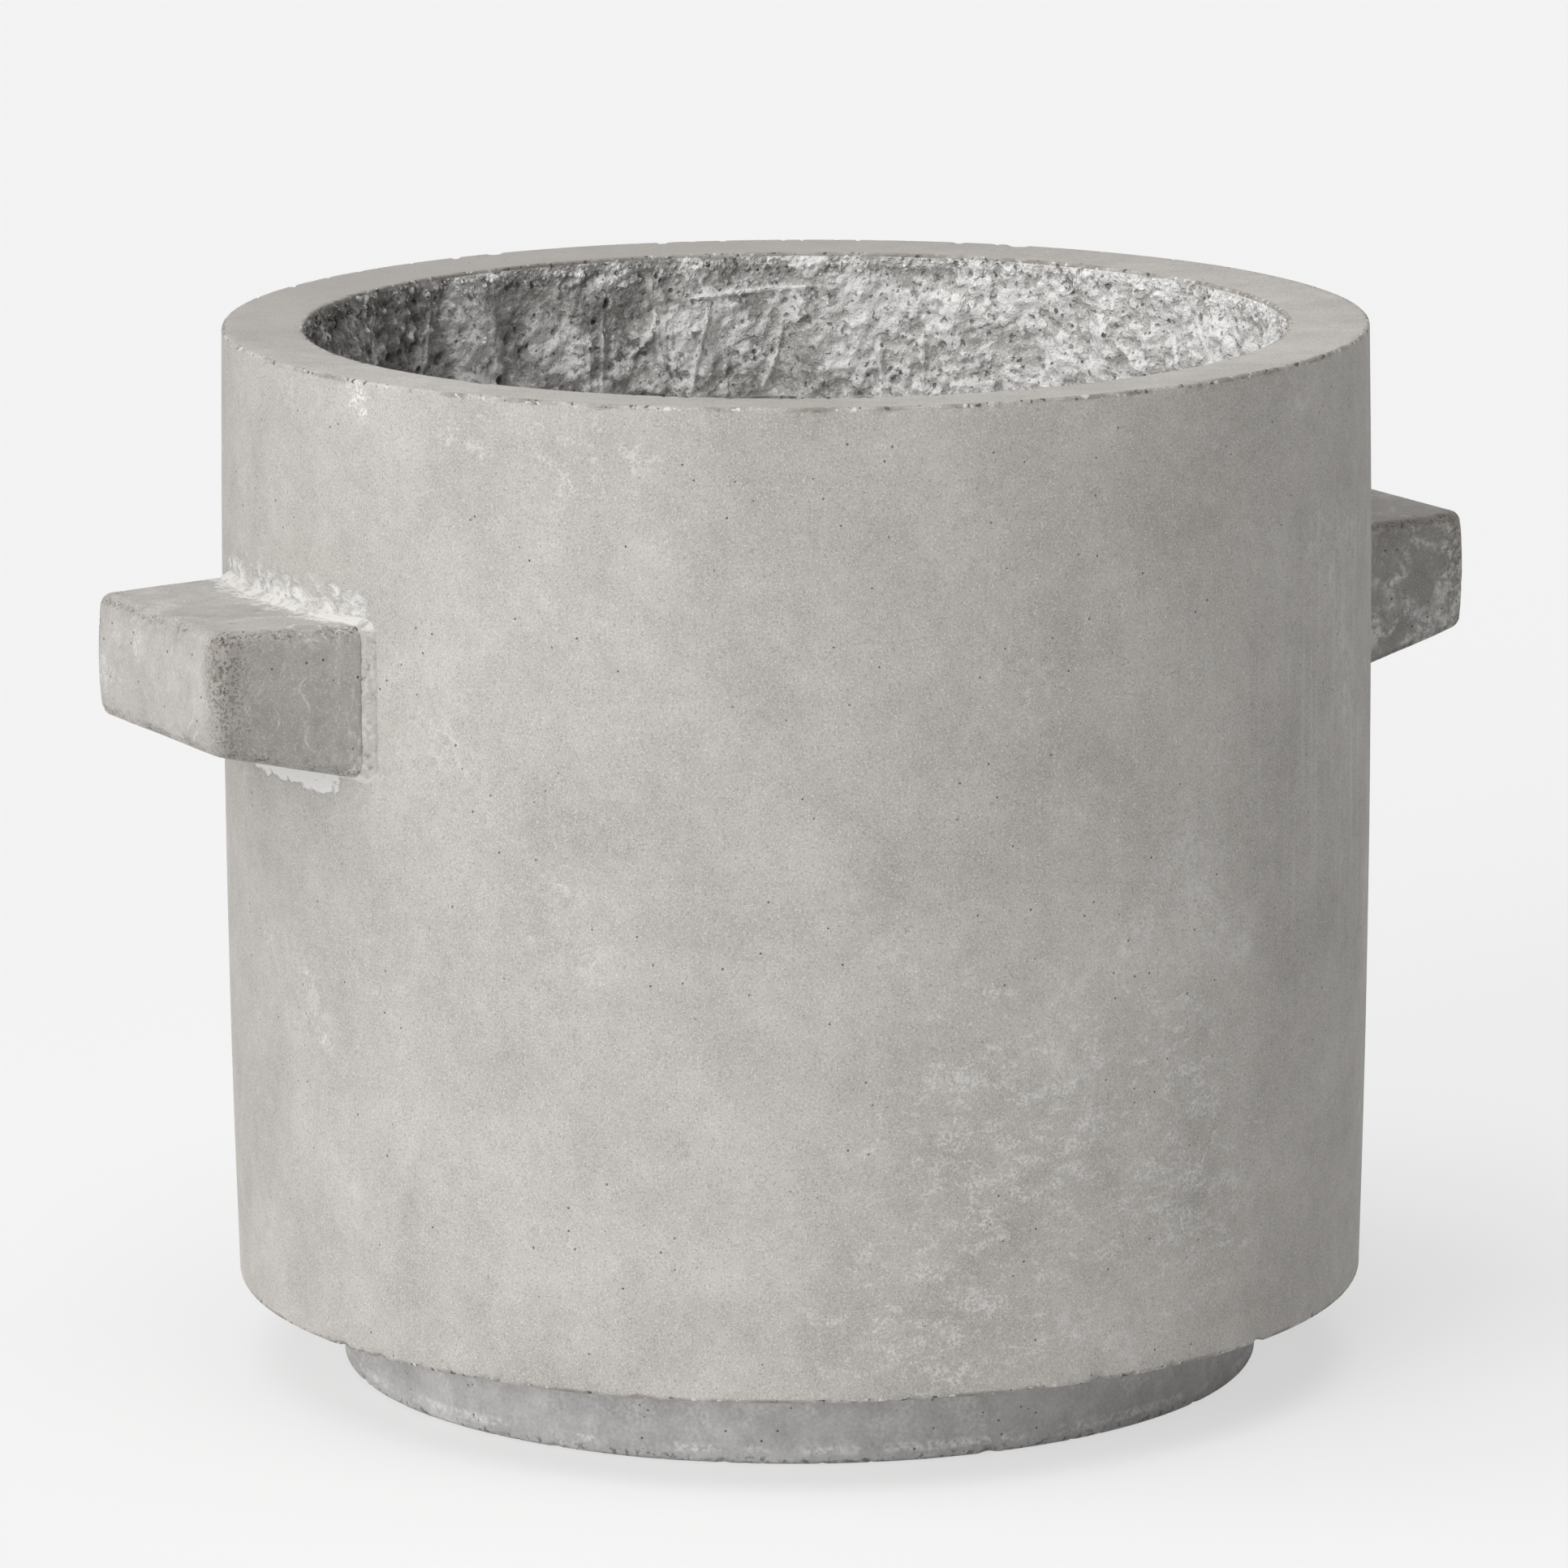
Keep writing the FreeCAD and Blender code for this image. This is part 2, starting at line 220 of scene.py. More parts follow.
def feed(tree, socket, value):
    """Sets a socket to a value, or links it to another node's output."""
    if isinstance(value, bpy.types.NodeSocket):
        tree.links.new(value, socket)
    else:
        socket.default_value = value


def add(tree, kind, inputs=None, **settings):
    """Adds one node with its settings; an input takes a value or a link from another node's output."""
    made = tree.nodes.new(kind)
    for name, value in settings.items():
        setattr(made, name, value)
    for key, value in (inputs or {}).items():
        feed(tree, made.inputs[key], value)
    return made


def calc(tree, operation, *values):
    """Works out one value from values."""
    return add(tree, "ShaderNodeMath", dict(enumerate(values)), operation=operation).outputs[0]


def calc_vector(tree, operation, *values):
    """Works out one vector from vectors."""
    return add(tree, "ShaderNodeVectorMath", dict(enumerate(values)), operation=operation).outputs[0]


def scaled(tree, vector, share):
    return add(tree, "ShaderNodeVectorMath", {0: vector, "Scale": share}, operation="SCALE").outputs[0]


def product(tree, first, second):
    return calc(tree, "MULTIPLY", first, second)


def blend(tree, layers):
    """The sum of values, each times its share."""
    total = 0
    for value, share in layers:
        total = calc(tree, "MULTIPLY_ADD", value, share, total)
    return total


def remap(tree, value, start, full, low=0, high=1):
    """Moves a value from one range to another, evenly and held at the ends."""
    return add(tree, "ShaderNodeMapRange", {
        "Value": value, "From Min": start, "From Max": full, "To Min": low, "To Max": high,
    }).outputs[0]


def ramp(tree, value, start, full):
    """0 at the start, 1 at the full value, with a soft step between."""
    return add(tree, "ShaderNodeMapRange", {
        "Value": value, "From Min": start, "From Max": full,
    }, interpolation_type="SMOOTHSTEP").outputs[0]


def noise(tree, place, scale, detail, roughness=0.5, distortion=0):
    """The outputs of a cloudy noise."""
    return add(tree, "ShaderNodeTexNoise", {
        "Vector": place, "Scale": scale, "Detail": detail, "Roughness": roughness, "Distortion": distortion,
    }).outputs


def axes_of(tree, place):
    """A place's X, Y and Z."""
    return add(tree, "ShaderNodeSeparateXYZ", {0: place}).outputs


def new_tree(name, whole=(), measured=(), materials=()):
    """A geometry tree with named inputs: whole numbers, measures and materials."""
    tree = bpy.data.node_groups.new(name, "GeometryNodeTree")
    tree.interface.new_socket("Geometry", in_out="INPUT", socket_type="NodeSocketGeometry")
    kinds = [(whole, "NodeSocketInt"), (measured, "NodeSocketFloat"), (materials, "NodeSocketMaterial")]
    for labels, kind in kinds:
        for label in labels:
            tree.interface.new_socket(label, in_out="INPUT", socket_type=kind)
    tree.interface.new_socket("Geometry", in_out="OUTPUT", socket_type="NodeSocketGeometry")
    return tree, add(tree, "NodeGroupInput").outputs


def marks_of(tree, *names):
    """The attributes that a piece's points carry, by name."""
    return {
        name: add(tree, "GeometryNodeInputNamedAttribute", {"Name": name}, data_type="FLOAT").outputs[0]
        for name in names
    }


def store(tree, geometry, values):
    """Keeps values with a piece's points, by name."""
    for name, value in values.items():
        geometry = add(tree, "GeometryNodeStoreNamedAttribute", {
            "Geometry": geometry, "Name": name, "Value": value,
        }, data_type="FLOAT", domain="POINT").outputs[0]
    return geometry


def end_smooth(tree, last):
    """Ends a tree with its last node's mesh, shaded smooth."""
    smooth = add(tree, "GeometryNodeSetShadeSmooth", {"Geometry": last.outputs[0]})
    add(tree, "NodeGroupOutput", {"Geometry": smooth.outputs[0]})
    return tree


def turned_tree():
    """Sweeps an outline's stations round the pot's axis and welds the seam and the poles."""
    tree, given = new_tree("turned_outline", whole=("Stations", "Segments"))
    half = 1 / 2
    grid = add(tree, "GeometryNodeMeshGrid", {
        "Size X": 1, "Size Y": 1,
        "Vertices X": calc(tree, "ADD", given["Segments"], 1), "Vertices Y": given["Stations"],
    })
    place = add(tree, "GeometryNodeInputPosition").outputs[0]
    share = axes_of(tree, place)
    turn = remap(tree, share["X"], -half, half, 0, FULL_TURN)
    station = remap(tree, share["Y"], -half, half, 0, calc(tree, "SUBTRACT", given["Stations"], 1))
    index = add(tree, "FunctionNodeFloatToInt", {0: station}, rounding_mode="ROUND")
    outline = add(tree, "GeometryNodeSampleIndex", {
        "Geometry": given["Geometry"], "Value": place, "Index": index.outputs[0],
    }, data_type="FLOAT_VECTOR")
    point = axes_of(tree, outline.outputs[0])
    along, across = [product(tree, calc(tree, way, turn), point["X"]) for way in ("COSINE", "SINE")]
    swept = add(tree, "ShaderNodeCombineXYZ", {"X": along, "Y": across, "Z": point["Z"]})
    moved = add(tree, "GeometryNodeSetPosition", {
        "Geometry": grid.outputs["Mesh"], "Position": swept.outputs[0],
    })
    welded = add(tree, "GeometryNodeMergeByDistance", {"Geometry": moved.outputs[0], "Distance": weld})
    return end_smooth(tree, welded)


def weathered_tree():
    """Sinks a casting's face: waves all over, chips and knocks where marked, grain where it is rough."""
    tree, given = new_tree("weathered_cast", measured=(
        "Wave size", "Wave depth", "Chip size", "Chip depth", "Chip start", "Knock depth",
        "Grain size", "Grain depth", "Ease depth", "Swell", "Seed",
    ))
    place = add(tree, "GeometryNodeInputPosition").outputs[0]
    noises = {}
    for layer, detail in (("Wave", 1), ("Chip", 3), ("Grain", 3)):
        noises[layer] = add(tree, "ShaderNodeTexNoise", {
            "Vector": place, "W": given["Seed"], "Detail": detail,
            "Scale": calc(tree, "DIVIDE", 1, given[layer + " size"]),
        }, noise_dimensions="4D").outputs[0]
    marks = marks_of(tree, "edge", "knock", "rough")
    chip_soft_share = 0.07
    chip_full = calc(tree, "ADD", given["Chip start"], chip_soft_share)
    chips = product(tree, ramp(tree, noises["Chip"], given["Chip start"], chip_full), marks["edge"])
    sink = blend(tree, [
        (noises["Wave"], given["Wave depth"]), (chips, given["Chip depth"]),
        (marks["knock"], given["Knock depth"]),
        (product(tree, noises["Grain"], marks["rough"]), given["Grain depth"]),
        (product(tree, marks["edge"], marks["edge"]), given["Ease depth"]),
    ])
    normal = add(tree, "GeometryNodeInputNormal").outputs[0]
    offset = scaled(tree, normal, calc(tree, "SUBTRACT", given["Swell"], sink))
    geometry = store(tree, given["Geometry"], {"chip": calc(tree, "MAXIMUM", chips, marks["knock"])})
    moved = add(tree, "GeometryNodeSetPosition", {"Geometry": geometry, "Offset": offset})
    return end_smooth(tree, moved)


def packed_tree():
    """Roughens the lining's inner face: marked folds and creases, lumps, bubbles, grit and a lime film."""
    tree, given = new_tree("hand_packed", measured=(
        "Crease depth", "Lump size", "Lump depth", "Knob size", "Knob depth",
        "Bubble spacing", "Bubble depth", "Grit size", "Grit depth", "Film size",
    ))
    place = add(tree, "GeometryNodeInputPosition").outputs[0]
    scales = {
        layer: calc(tree, "DIVIDE", 1, given[layer])
        for layer in ("Lump size", "Knob size", "Bubble spacing", "Grit size", "Film size")
    }
    marks = marks_of(tree, "face", "band", "fold", "crease", "limit")
    # The film hangs down the wall, as the packing hand pulled it
    upright_shares = (1, 1, 0.45)
    film_start, film_full = 0.46, 0.58
    upright = calc_vector(tree, "MULTIPLY", place, upright_shares)
    film = ramp(tree, noise(tree, upright, scales["Film size"], 2)[0], film_start, film_full)
    # Lumps wander off their grid
    stray_share, lump_level_share, lump_blur = 0.9, 0.4, 0.12
    stray = noise(tree, place, scales["Lump size"], 2)["Color"]
    drift = calc_vector(tree, "MULTIPLY", stray, given["Lump size"])
    wandered = calc_vector(tree, "MULTIPLY_ADD", drift, (stray_share,) * 3, place)
    heaps = {}
    for layer in ("Lump", "Knob"):
        cells = add(tree, "ShaderNodeTexVoronoi", {
            "Vector": wandered, "Scale": scales[layer + " size"], "Smoothness": lump_blur,
        }, feature="SMOOTH_F1").outputs
        heaps[layer] = calc(tree, "SUBTRACT", lump_level_share, cells["Distance"])
    # Each bubble is a dome or a pit of its own width
    narrow_share, wide_share, flat_share = 0.16, 0.42, 0.45
    pit_chance, dome_share = 0.55, 0.6
    cell = add(tree, "ShaderNodeTexVoronoi", {"Vector": place, "Scale": scales["Bubble spacing"]}).outputs
    chance = add(tree, "FunctionNodeSeparateColor", {0: cell["Color"]}).outputs
    width = remap(tree, chance[1], 0, 1, narrow_share, wide_share)
    inside = ramp(tree, cell["Distance"], width, product(tree, width, flat_share))
    is_dome = calc(tree, "GREATER_THAN", chance[0], pit_chance)
    bubbles = product(tree, inside, remap(tree, is_dome, 0, 1, -1, dome_share))
    # The film fills the grit, and the band under the lip is nothing but grit
    grit_level_share, filled_share, band_grit_share = 0.5, 0.15, 1.5
    off_level = calc(tree, "SUBTRACT", noise(tree, place, scales["Grit size"], 3)[0], grit_level_share)
    open_share = remap(tree, film, 0, 1, 1, filled_share)
    loose = calc(tree, "MULTIPLY_ADD", marks["band"], band_grit_share, open_share)
    rise = blend(tree, [
        (marks["crease"], given["Crease depth"]), (heaps["Lump"], given["Lump depth"]),
        (heaps["Knob"], given["Knob depth"]), (bubbles, given["Bubble depth"]),
        (product(tree, off_level, loose), given["Grit depth"]),
    ])
    geometry = store(tree, given["Geometry"], {
        "film": film, "relief": calc(tree, "DIVIDE", rise, given["Lump depth"]),
        "crumble": product(tree, open_share, marks["face"]),
    })
    held = calc(tree, "MAXIMUM", rise, marks["limit"])
    stands = product(tree, calc(tree, "ADD", held, marks["fold"]), marks["face"])
    level_shares = (1, 1, 0)
    normal = add(tree, "GeometryNodeInputNormal").outputs[0]
    offset = scaled(tree, calc_vector(tree, "MULTIPLY", normal, level_shares), stands)
    moved = add(tree, "GeometryNodeSetPosition", {"Geometry": geometry, "Offset": offset})
    return end_smooth(tree, moved)


def crumb_tree():
    """Scatters broken crumbs over a surface, as thick as its crumble and band attributes say."""
    tree, given = new_tree(
        "scattered_crumbs", whole=("Seed",), materials=("Material",),
        measured=("Density", "Band density", "Smallest", "Largest"),
    )
    marks = marks_of(tree, "crumble", "band")
    density = blend(tree, [(marks["crumble"], given["Density"]), (marks["band"], given["Band density"])])
    points = add(tree, "GeometryNodeDistributePointsOnFaces", {
        "Mesh": given["Geometry"], "Density": density, "Seed": given["Seed"],
    }, distribute_method="RANDOM")
    stone = add(tree, "GeometryNodeMeshIcoSphere", {"Radius": 1, "Subdivisions": 1})
    sizes = [
        add(tree, "ShaderNodeCombineXYZ", {axis: given[name] for axis in range(3)}).outputs[0]
        for name in ("Smallest", "Largest")
    ]
    turn, size = [
        add(tree, "FunctionNodeRandomValue", {
            RANDOM_LOW: low, RANDOM_HIGH: high, RANDOM_SEED: given["Seed"],
        }, data_type="FLOAT_VECTOR").outputs[0]
        for low, high in (((0, 0, 0), (FULL_TURN,) * 3), sizes)
    ]
    placed = add(tree, "GeometryNodeInstanceOnPoints", {
        "Points": points.outputs["Points"], "Instance": stone.outputs["Mesh"],
        "Rotation": turn, "Scale": size,
    })
    real = add(tree, "GeometryNodeRealizeInstances", {"Geometry": placed.outputs[0]})
    # Each crumb is knocked out of round
    level_shares = (0.5, 0.5, 0.5)
    place = add(tree, "GeometryNodeInputPosition").outputs[0]
    jag = noise(tree, place, calc(tree, "DIVIDE", 1, given["Largest"]), 1)["Color"]
    offset = scaled(tree, calc_vector(tree, "SUBTRACT", jag, level_shares), given["Largest"])
    broken = add(tree, "GeometryNodeSetPosition", {"Geometry": real.outputs[0], "Offset": offset})
    painted = add(tree, "GeometryNodeSetMaterial", {
        "Geometry": broken.outputs[0], "Material": given["Material"],
    })
    add(tree, "NodeGroupOutput", {"Geometry": painted.outputs[0]})
    return tree


def run_tree(piece, tree, settings):
    """Runs a node tree on a piece and keeps the result as its plain mesh."""
    modifier = piece.modifiers.new(tree.name, "NODES")
    modifier.node_group = tree
    for item in tree.interface.items_tree:
        if item.in_out == "INPUT" and item.name in settings:
            modifier[item.identifier] = settings[item.name]
    keep_result(piece)


def keep_result(piece):
    """Swaps a piece's mesh for what its modifiers make of it."""
    depsgraph = bpy.context.evaluated_depsgraph_get()
    made = bpy.data.meshes.new_from_object(piece.evaluated_get(depsgraph), depsgraph=depsgraph)
    if not made.polygons:
        raise RuntimeError(f"{piece.name} came out empty")
    piece.modifiers.clear()
    old = piece.data
    piece.data = made
    made.name = piece.name
    bpy.data.meshes.remove(old)


# Meshes


def new_piece(name, mesh):
    piece = bpy.data.objects.new(name, mesh)
    bpy.context.scene.collection.objects.link(piece)
    return piece


def finish_piece(piece, material, body, slot, *nodes):
    """Gives a piece its finish, its body and the nodes that it stands for."""
    piece.data.materials.clear()
    piece.data.materials.append(material)
    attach(piece, body)
    if nodes:
        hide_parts(*nodes)


def run(start, end, step):
    """Stations from one point towards another, about a step apart, without the end."""
    count = max(1, round(math.dist(start, end) / step))
    return [
        tuple(a + (b - a) * index / count for a, b in zip(start, end))
        for index in range(count)
    ]


def path(corners, step):
    """Stations along straight lines from corner to corner, without the last."""
    stations = []
    for start, end in zip(corners, corners[1:]):
        stations += run(start, end, step)
    return stations


def arc(centre, radius, start, end, step):
    """Stations round a corner, from one angle to another, without the end."""
    count = max(2, round(abs(end - start) * radius / step))
    angles = [start + (end - start) * index / count for index in range(count)]
    return [(centre[0] + radius * math.cos(angle), centre[1] + radius * math.sin(angle)) for angle in angles]


def turn_piece(name, outline, segments):
    """A piece turned from a closed outline of radius and level pairs."""
    mesh = bpy.data.meshes.new(name)
    mesh.from_pydata([(radius, 0, level) for radius, level in outline], [], [])
    piece = new_piece(name, mesh)
    run_tree(piece, turned_tree(), {"Stations": len(outline), "Segments": segments})
    return piece


def points_of(piece):
    """The points of a piece's mesh as an array."""
    flat = np.empty(len(piece.data.vertices) * 3, np.float32)
    piece.data.vertices.foreach_get("co", flat)
    return flat.reshape(-1, 3)


def move_points(piece, points):
    piece.data.vertices.foreach_set("co", points.ravel())


def radius_of(points):
    """How far each point is from the pot's axis."""
    return np.hypot(points[:, 0], points[:, 1])


def mark(piece, name, values):
    """Stores one value per point as a named attribute."""
    layer = piece.data.attributes.new(name, "FLOAT", "POINT")
    layer.data.foreach_set("value", np.asarray(values, np.float32))


def near(values, reach):
    """1 at nothing, falling evenly to 0 at the reach."""
    return np.clip(1 - values / reach, 0, 1)


def around(radius, angle, level):
    """A place on the pot from an angle in degrees, seen from above."""
    turn = math.radians(angle)
    return Vector((radius * math.cos(turn), radius * math.sin(turn), level))


def knocked(points, places):
    """How far each point lies inside a knock, given as places with a reach."""
    found = np.zeros(len(points))
    for place, reach in places:
        found = np.maximum(found, near(np.linalg.norm(points - np.array(place), axis=1), reach))
    return found


def barrel_radius(level):
    """The drum's radius at a level, on the shallow curve through base, belly and rim."""
    half_height = drum_top - drum_middle
    share = (level - drum_middle) / half_height
    lean = (rim_radius - base_radius) / 2
    bow = belly_radius - (rim_radius + base_radius) / 2
    return belly_radius + lean * share - bow * share ** 2 - belly_inset


def wall_run():
    """Stations up the drum's wall, close together near its edges."""
    low = drum_bottom + base_round
    high = drum_top - rim_outer_round
    levels = (low, low + near_edge_zone, high - near_edge_zone, high)
    stations = []
    for start, end, step in zip(levels, levels[1:], (near_edge_step, wall_step, near_edge_step)):
        stations += [(barrel_radius(level), level) for _, level in run((0, start), (0, end), step)]
    return stations


def drum_outline():
    """The drum's section, out under the base, up the wall, over the rim and back across the floor."""
    base = base_radius - belly_inset - base_round
    rim = rim_radius - belly_inset - rim_outer_round
    lip = lip_radius + rim_inner_round
    ledge = lip_bottom - ledge_rise
    flange = flange_radius + cast_gap
    seat = floor_top - flange_thickness
    stations = run((drain_radius, drum_bottom), (base, drum_bottom), wall_step)
    stations += arc((base, drum_bottom + base_round), base_round, -QUARTER_TURN, 0, edge_step)
    stations += wall_run()
    stations += arc((rim, drum_top - rim_outer_round), rim_outer_round, 0, QUARTER_TURN, edge_step)
    stations += run((rim, drum_top), (lip, lip_top), rim_step)
    corner = (lip, lip_top - rim_inner_round)
    stations += arc(corner, rim_inner_round, QUARTER_TURN, 2 * QUARTER_TURN, edge_step)
    stations += run((lip_radius, lip_top - rim_inner_round), (lip_radius, lip_bottom), near_edge_step)
    stations += path([
        (lip_radius, lip_bottom), (wall_inner_radius, ledge), (wall_inner_radius, floor_top),
    ], hidden_step)
    stations += run((wall_inner_radius, floor_top), (flange, floor_top), floor_step)
    stations += path([
        (flange, floor_top), (flange, seat), (drain_radius, seat), (drain_radius, drum_bottom),
    ], hidden_step)
    return stations + stations[:1]


def cast_drum(sizes):
    piece = turn_piece("concrete_drum", drum_outline(), sizes.drum_segments)
    points = points_of(piece)
    radius = radius_of(points)
    level = points[:, 2]
    edge_reach = 4 * MM
    # Knocks on the rim, on its inner edge and along the base, each an angle and a reach
    edges = (
        (rim_radius, drum_top, ((126, 3), (100, 2.6), (95, 3.4), (37, 4.5), (-173, 3))),
        (lip_radius, lip_top, ((40, 3), (36.5, 4), (33, 3.5))),
        (base_radius, drum_bottom, (
            (-171, 3), (-165, 3), (-151, 3), (-88, 4.5), (-79, 3), (-66, 3.5), (20, 4), (150, 4),
        )),
    )
    edge = np.zeros(len(points))
    places = []
    for edge_radius, edge_level, knocks in edges:
        edge = np.maximum(edge, near(np.hypot(radius - edge_radius, level - edge_level), edge_reach))
        places += [(around(edge_radius, angle, edge_level), reach * MM) for angle, reach in knocks]
    mark(piece, "edge", edge)
    mark(piece, "knock", knocked(points, places))
    at_floor = (level < floor_top + edge_reach) & (level > floor_top - edge_reach)
    inside = (radius > flange_radius + edge_reach) & (radius < wall_inner_radius + edge_reach)
    mark(piece, "rough", at_floor & inside)
    run_tree(piece, weathered_tree(), {
        "Wave size": 70 * MM, "Wave depth": sizes.wave_depth,
        "Chip size": 3 * MM, "Chip depth": sizes.chip_depth, "Chip start": 0.58,
        "Knock depth": sizes.knock_depth, "Grain size": 14 * MM, "Grain depth": 1.6 * MM,
        "Ease depth": 0.0, "Swell": 0.0, "Seed": 1.0,
    })
    return piece


def lining_outline(top, bottom, step):
    """A length of the lining's section: down its inner face, out under it and up its back."""
    cover = 0.4 * MM
    sliver = 0.1 * MM
    back_top = min(top, lip_bottom - ledge_rise)

    def inner(level):
        fall_share = (lip_bottom - level) / (lip_bottom - floor_top)
        return (lip_radius - cover - lining_draft * fall_share, level)

    stations = run(inner(top), inner(top - sliver), sliver)
    stations += run(inner(top - sliver), inner(bottom + sliver), step)
    stations += run(inner(bottom + sliver), inner(bottom), sliver)
    back = [(wall_inner_radius, bottom), (wall_inner_radius, back_top)]
    stations += path([inner(bottom), *back, inner(top)], hidden_step)
    return stations + stations[:1]


def folded(angle, level):
    """How far the ribs stand in from the lining's face and the hollows fall back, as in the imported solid."""
    fall_share = np.clip((lip_bottom - level) / (lip_bottom - floor_top), 0, 1)
    rib_rise = rib_top_rise + (rib_foot_rise - rib_top_rise) * fall_share
    total = np.zeros(len(angle))
    for angles, rise, way in ((rib_angles, rib_rise, 1), (hollow_angles, hollow_depth, -1)):
        for middle in angles:
            off = lip_radius * np.radians(turned_off(angle, middle))
            bow = np.sqrt(np.clip(fold_radius ** 2 - off ** 2, 0, None))
            total += way * np.clip(bow - (fold_radius - rise), 0, None)
    middle_share = 0.5
    return total * np.clip((lip_bottom - fold_top_cover - level) / fold_fade + middle_share, 0, 1)


def turned_off(angle, middle):
    """How far an angle is from another, in degrees to either side."""
    return (angle - middle + 180) % 360 - 180


def creased(angle, level, creases):
    """Sharp ridges on the lining, each from an angle and a level in mm to another, with a bow between."""
    half_width = 1.1 * MM
    end_slope, end_share = 6, 0.2
    bow_scale = 4
    found = np.zeros(len(angle))
    along = math.radians(1) * lip_radius
    for (start_angle, start_level), (end_angle, end_level), bow in creases:
        off = turned_off(angle, start_angle) * along
        rise = level - start_level * MM
        reach = (end_angle - start_angle) * along
        climb = (end_level - start_level) * MM
        run_length = math.hypot(reach, climb)
        share = (off * reach + rise * climb) / run_length ** 2
        aside = (off * climb - rise * reach) / run_length - bow * MM * bow_scale * share * (1 - share)
        ends = np.clip(np.minimum(share, 1 - share) * end_slope + end_share, 0, 1)
        ridge = near(np.abs(aside), half_width) * ends * (share > 0) * (share < 1)
        found = np.maximum(found, ridge)
    return found


def pack_lining(name, top, bottom, step, segments, sizes):
    piece = turn_piece(name, lining_outline(top, bottom, step), segments)
    points = points_of(piece)
    radius = radius_of(points)
    angle = np.degrees(np.arctan2(points[:, 1], points[:, 0]))
    level = points[:, 2]
    band_reach = 7 * MM
    band_drop = 4 * MM
    edge_fade = 1.2 * MM
    lip_fade = 5 * MM
    room = 9 * MM
    face_cover = 2 * MM
    face = (radius < lip_radius + face_cover) * np.clip((top - level) / edge_fade, 0, 1)
    mark(piece, "face", face)
    mark(piece, "band", near(np.abs(level - (lip_top - band_drop)), band_reach) * face)
    mark(piece, "fold", folded(angle, level))
    # Over the lip's own face the lining only stands in
    mark(piece, "limit", -room * np.clip((lip_bottom - level) / lip_fade, 0, 1))
    # Creases of the film that it was cast against: pairs, and two fans that spring from a point
    creases = [
        ((87.8, 341), (88.5, 312), 0), ((85.8, 348), (86.5, 312), 0),
        ((75.5, 314), (80.5, 331), 0), ((75.5, 314), (78.7, 346), 3), ((75.5, 314), (77, 342), 1),
        ((75, 314), (72, 350), 0), ((82.2, 330), (78.8, 349), -3), ((75.8, 351.5), (58, 356), 0),
        ((50.8, 312), (54.2, 338), 0), ((50.6, 312), (51.2, 337), 0), ((45.6, 310), (45.5, 339), 0),
        ((18.5, 342), (13.6, 329), 0), ((10.2, 346), (7.4, 332), 0), ((129.4, 362), (129.2, 345), 0),
        ((112, 360), (114, 330), 2), ((63, 345), (66, 315), 2), ((31, 350), (29, 325), 0),
    ]
    mark(piece, "crease", creased(angle, level, creases))
    run_tree(piece, packed_tree(), {
        "Crease depth": 1.8 * MM,
        "Lump size": 13 * MM, "Lump depth": sizes.lump_depth,
        "Knob size": 5 * MM, "Knob depth": 2.1 * MM,
        "Bubble spacing": 6.5 * MM, "Bubble depth": 2.3 * MM,
        "Grit size": 2.4 * MM, "Grit depth": 2.8 * MM, "Film size": 22 * MM,
    })
    return piece


def even_copy(name, node, voxel, rounds):
    """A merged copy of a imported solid's mesh, rebuilt in even small faces."""
    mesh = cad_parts[node].data.copy()
    work = bmesh.new()
    work.from_mesh(mesh)
    bmesh.ops.remove_doubles(work, verts=work.verts, dist=weld)
    work.to_mesh(mesh)
    work.free()
    piece = new_piece(name, mesh)
    remesh = piece.modifiers.new("even_faces", "REMESH")
    remesh.mode = "VOXEL"
    remesh.voxel_size = voxel
    ease = piece.modifiers.new("eased", "SMOOTH")
    ease.iterations = rounds
    keep_result(piece)
    return piece


def lug_section(points, side):
    """Half the width and the depth of a lug at each point; the side is 1 on +X and -1 on -X."""
    share = np.clip((points[:, 0] * side - lug_root_reach) / (lug_high.x - lug_root_reach), 0, 1)
    half_width = (lug_root_width + (lug_end_width - lug_root_width) * share) / 2
    return half_width, lug_root_depth + (lug_end_depth - lug_root_depth) * share


def lug_edges(points, side):
    """How near each point of a lug is to one of its edges."""
    edge_reach = 8 * MM
    reach = points[:, 0] * side
    half_width, depth = lug_section(points, side)
    gaps = np.stack([
        lug_high.x - reach,
        lug_high.z - points[:, 2],
        points[:, 2] - (lug_high.z - depth),
        half_width - np.abs(points[:, 1]),
    ])
    second = np.sort(gaps, axis=0)[1]
    return near(second, edge_reach) * (reach > lug_root_reach)


def lug_shade(points):
    """Painted shade on a lug's sides and, less, on its top, with somewhat denser paste on the sides."""
    side_share, top_share = 0.65, 0.4
    soft = 9 * MM
    on_side = np.clip((np.abs(points[:, 1]) - lug_end_width / 2 + soft) / soft, 0, 1)
    on_top = near(lug_high.z - points[:, 2], soft)
    return np.maximum(side_share * on_side, top_share * on_top)


def crown_end(piece, side):
    """Bows a lug's end face, so that its edges fall away from the middle."""
    crown = 1.4 * MM
    across_share = 0.35
    zone = 14 * MM
    points = points_of(piece)
    half_depth = lug_end_depth / 2
    across = points[:, 1] / (lug_end_width / 2)
    up = (points[:, 2] - (lug_high.z - half_depth)) / half_depth
    share = np.clip(1 - (lug_high.x - points[:, 0] * side) / zone, 0, 1)
    points[:, 0] -= side * crown * share * np.clip(across_share * across ** 2 + up ** 2, 0, 1)
    move_points(piece, points)


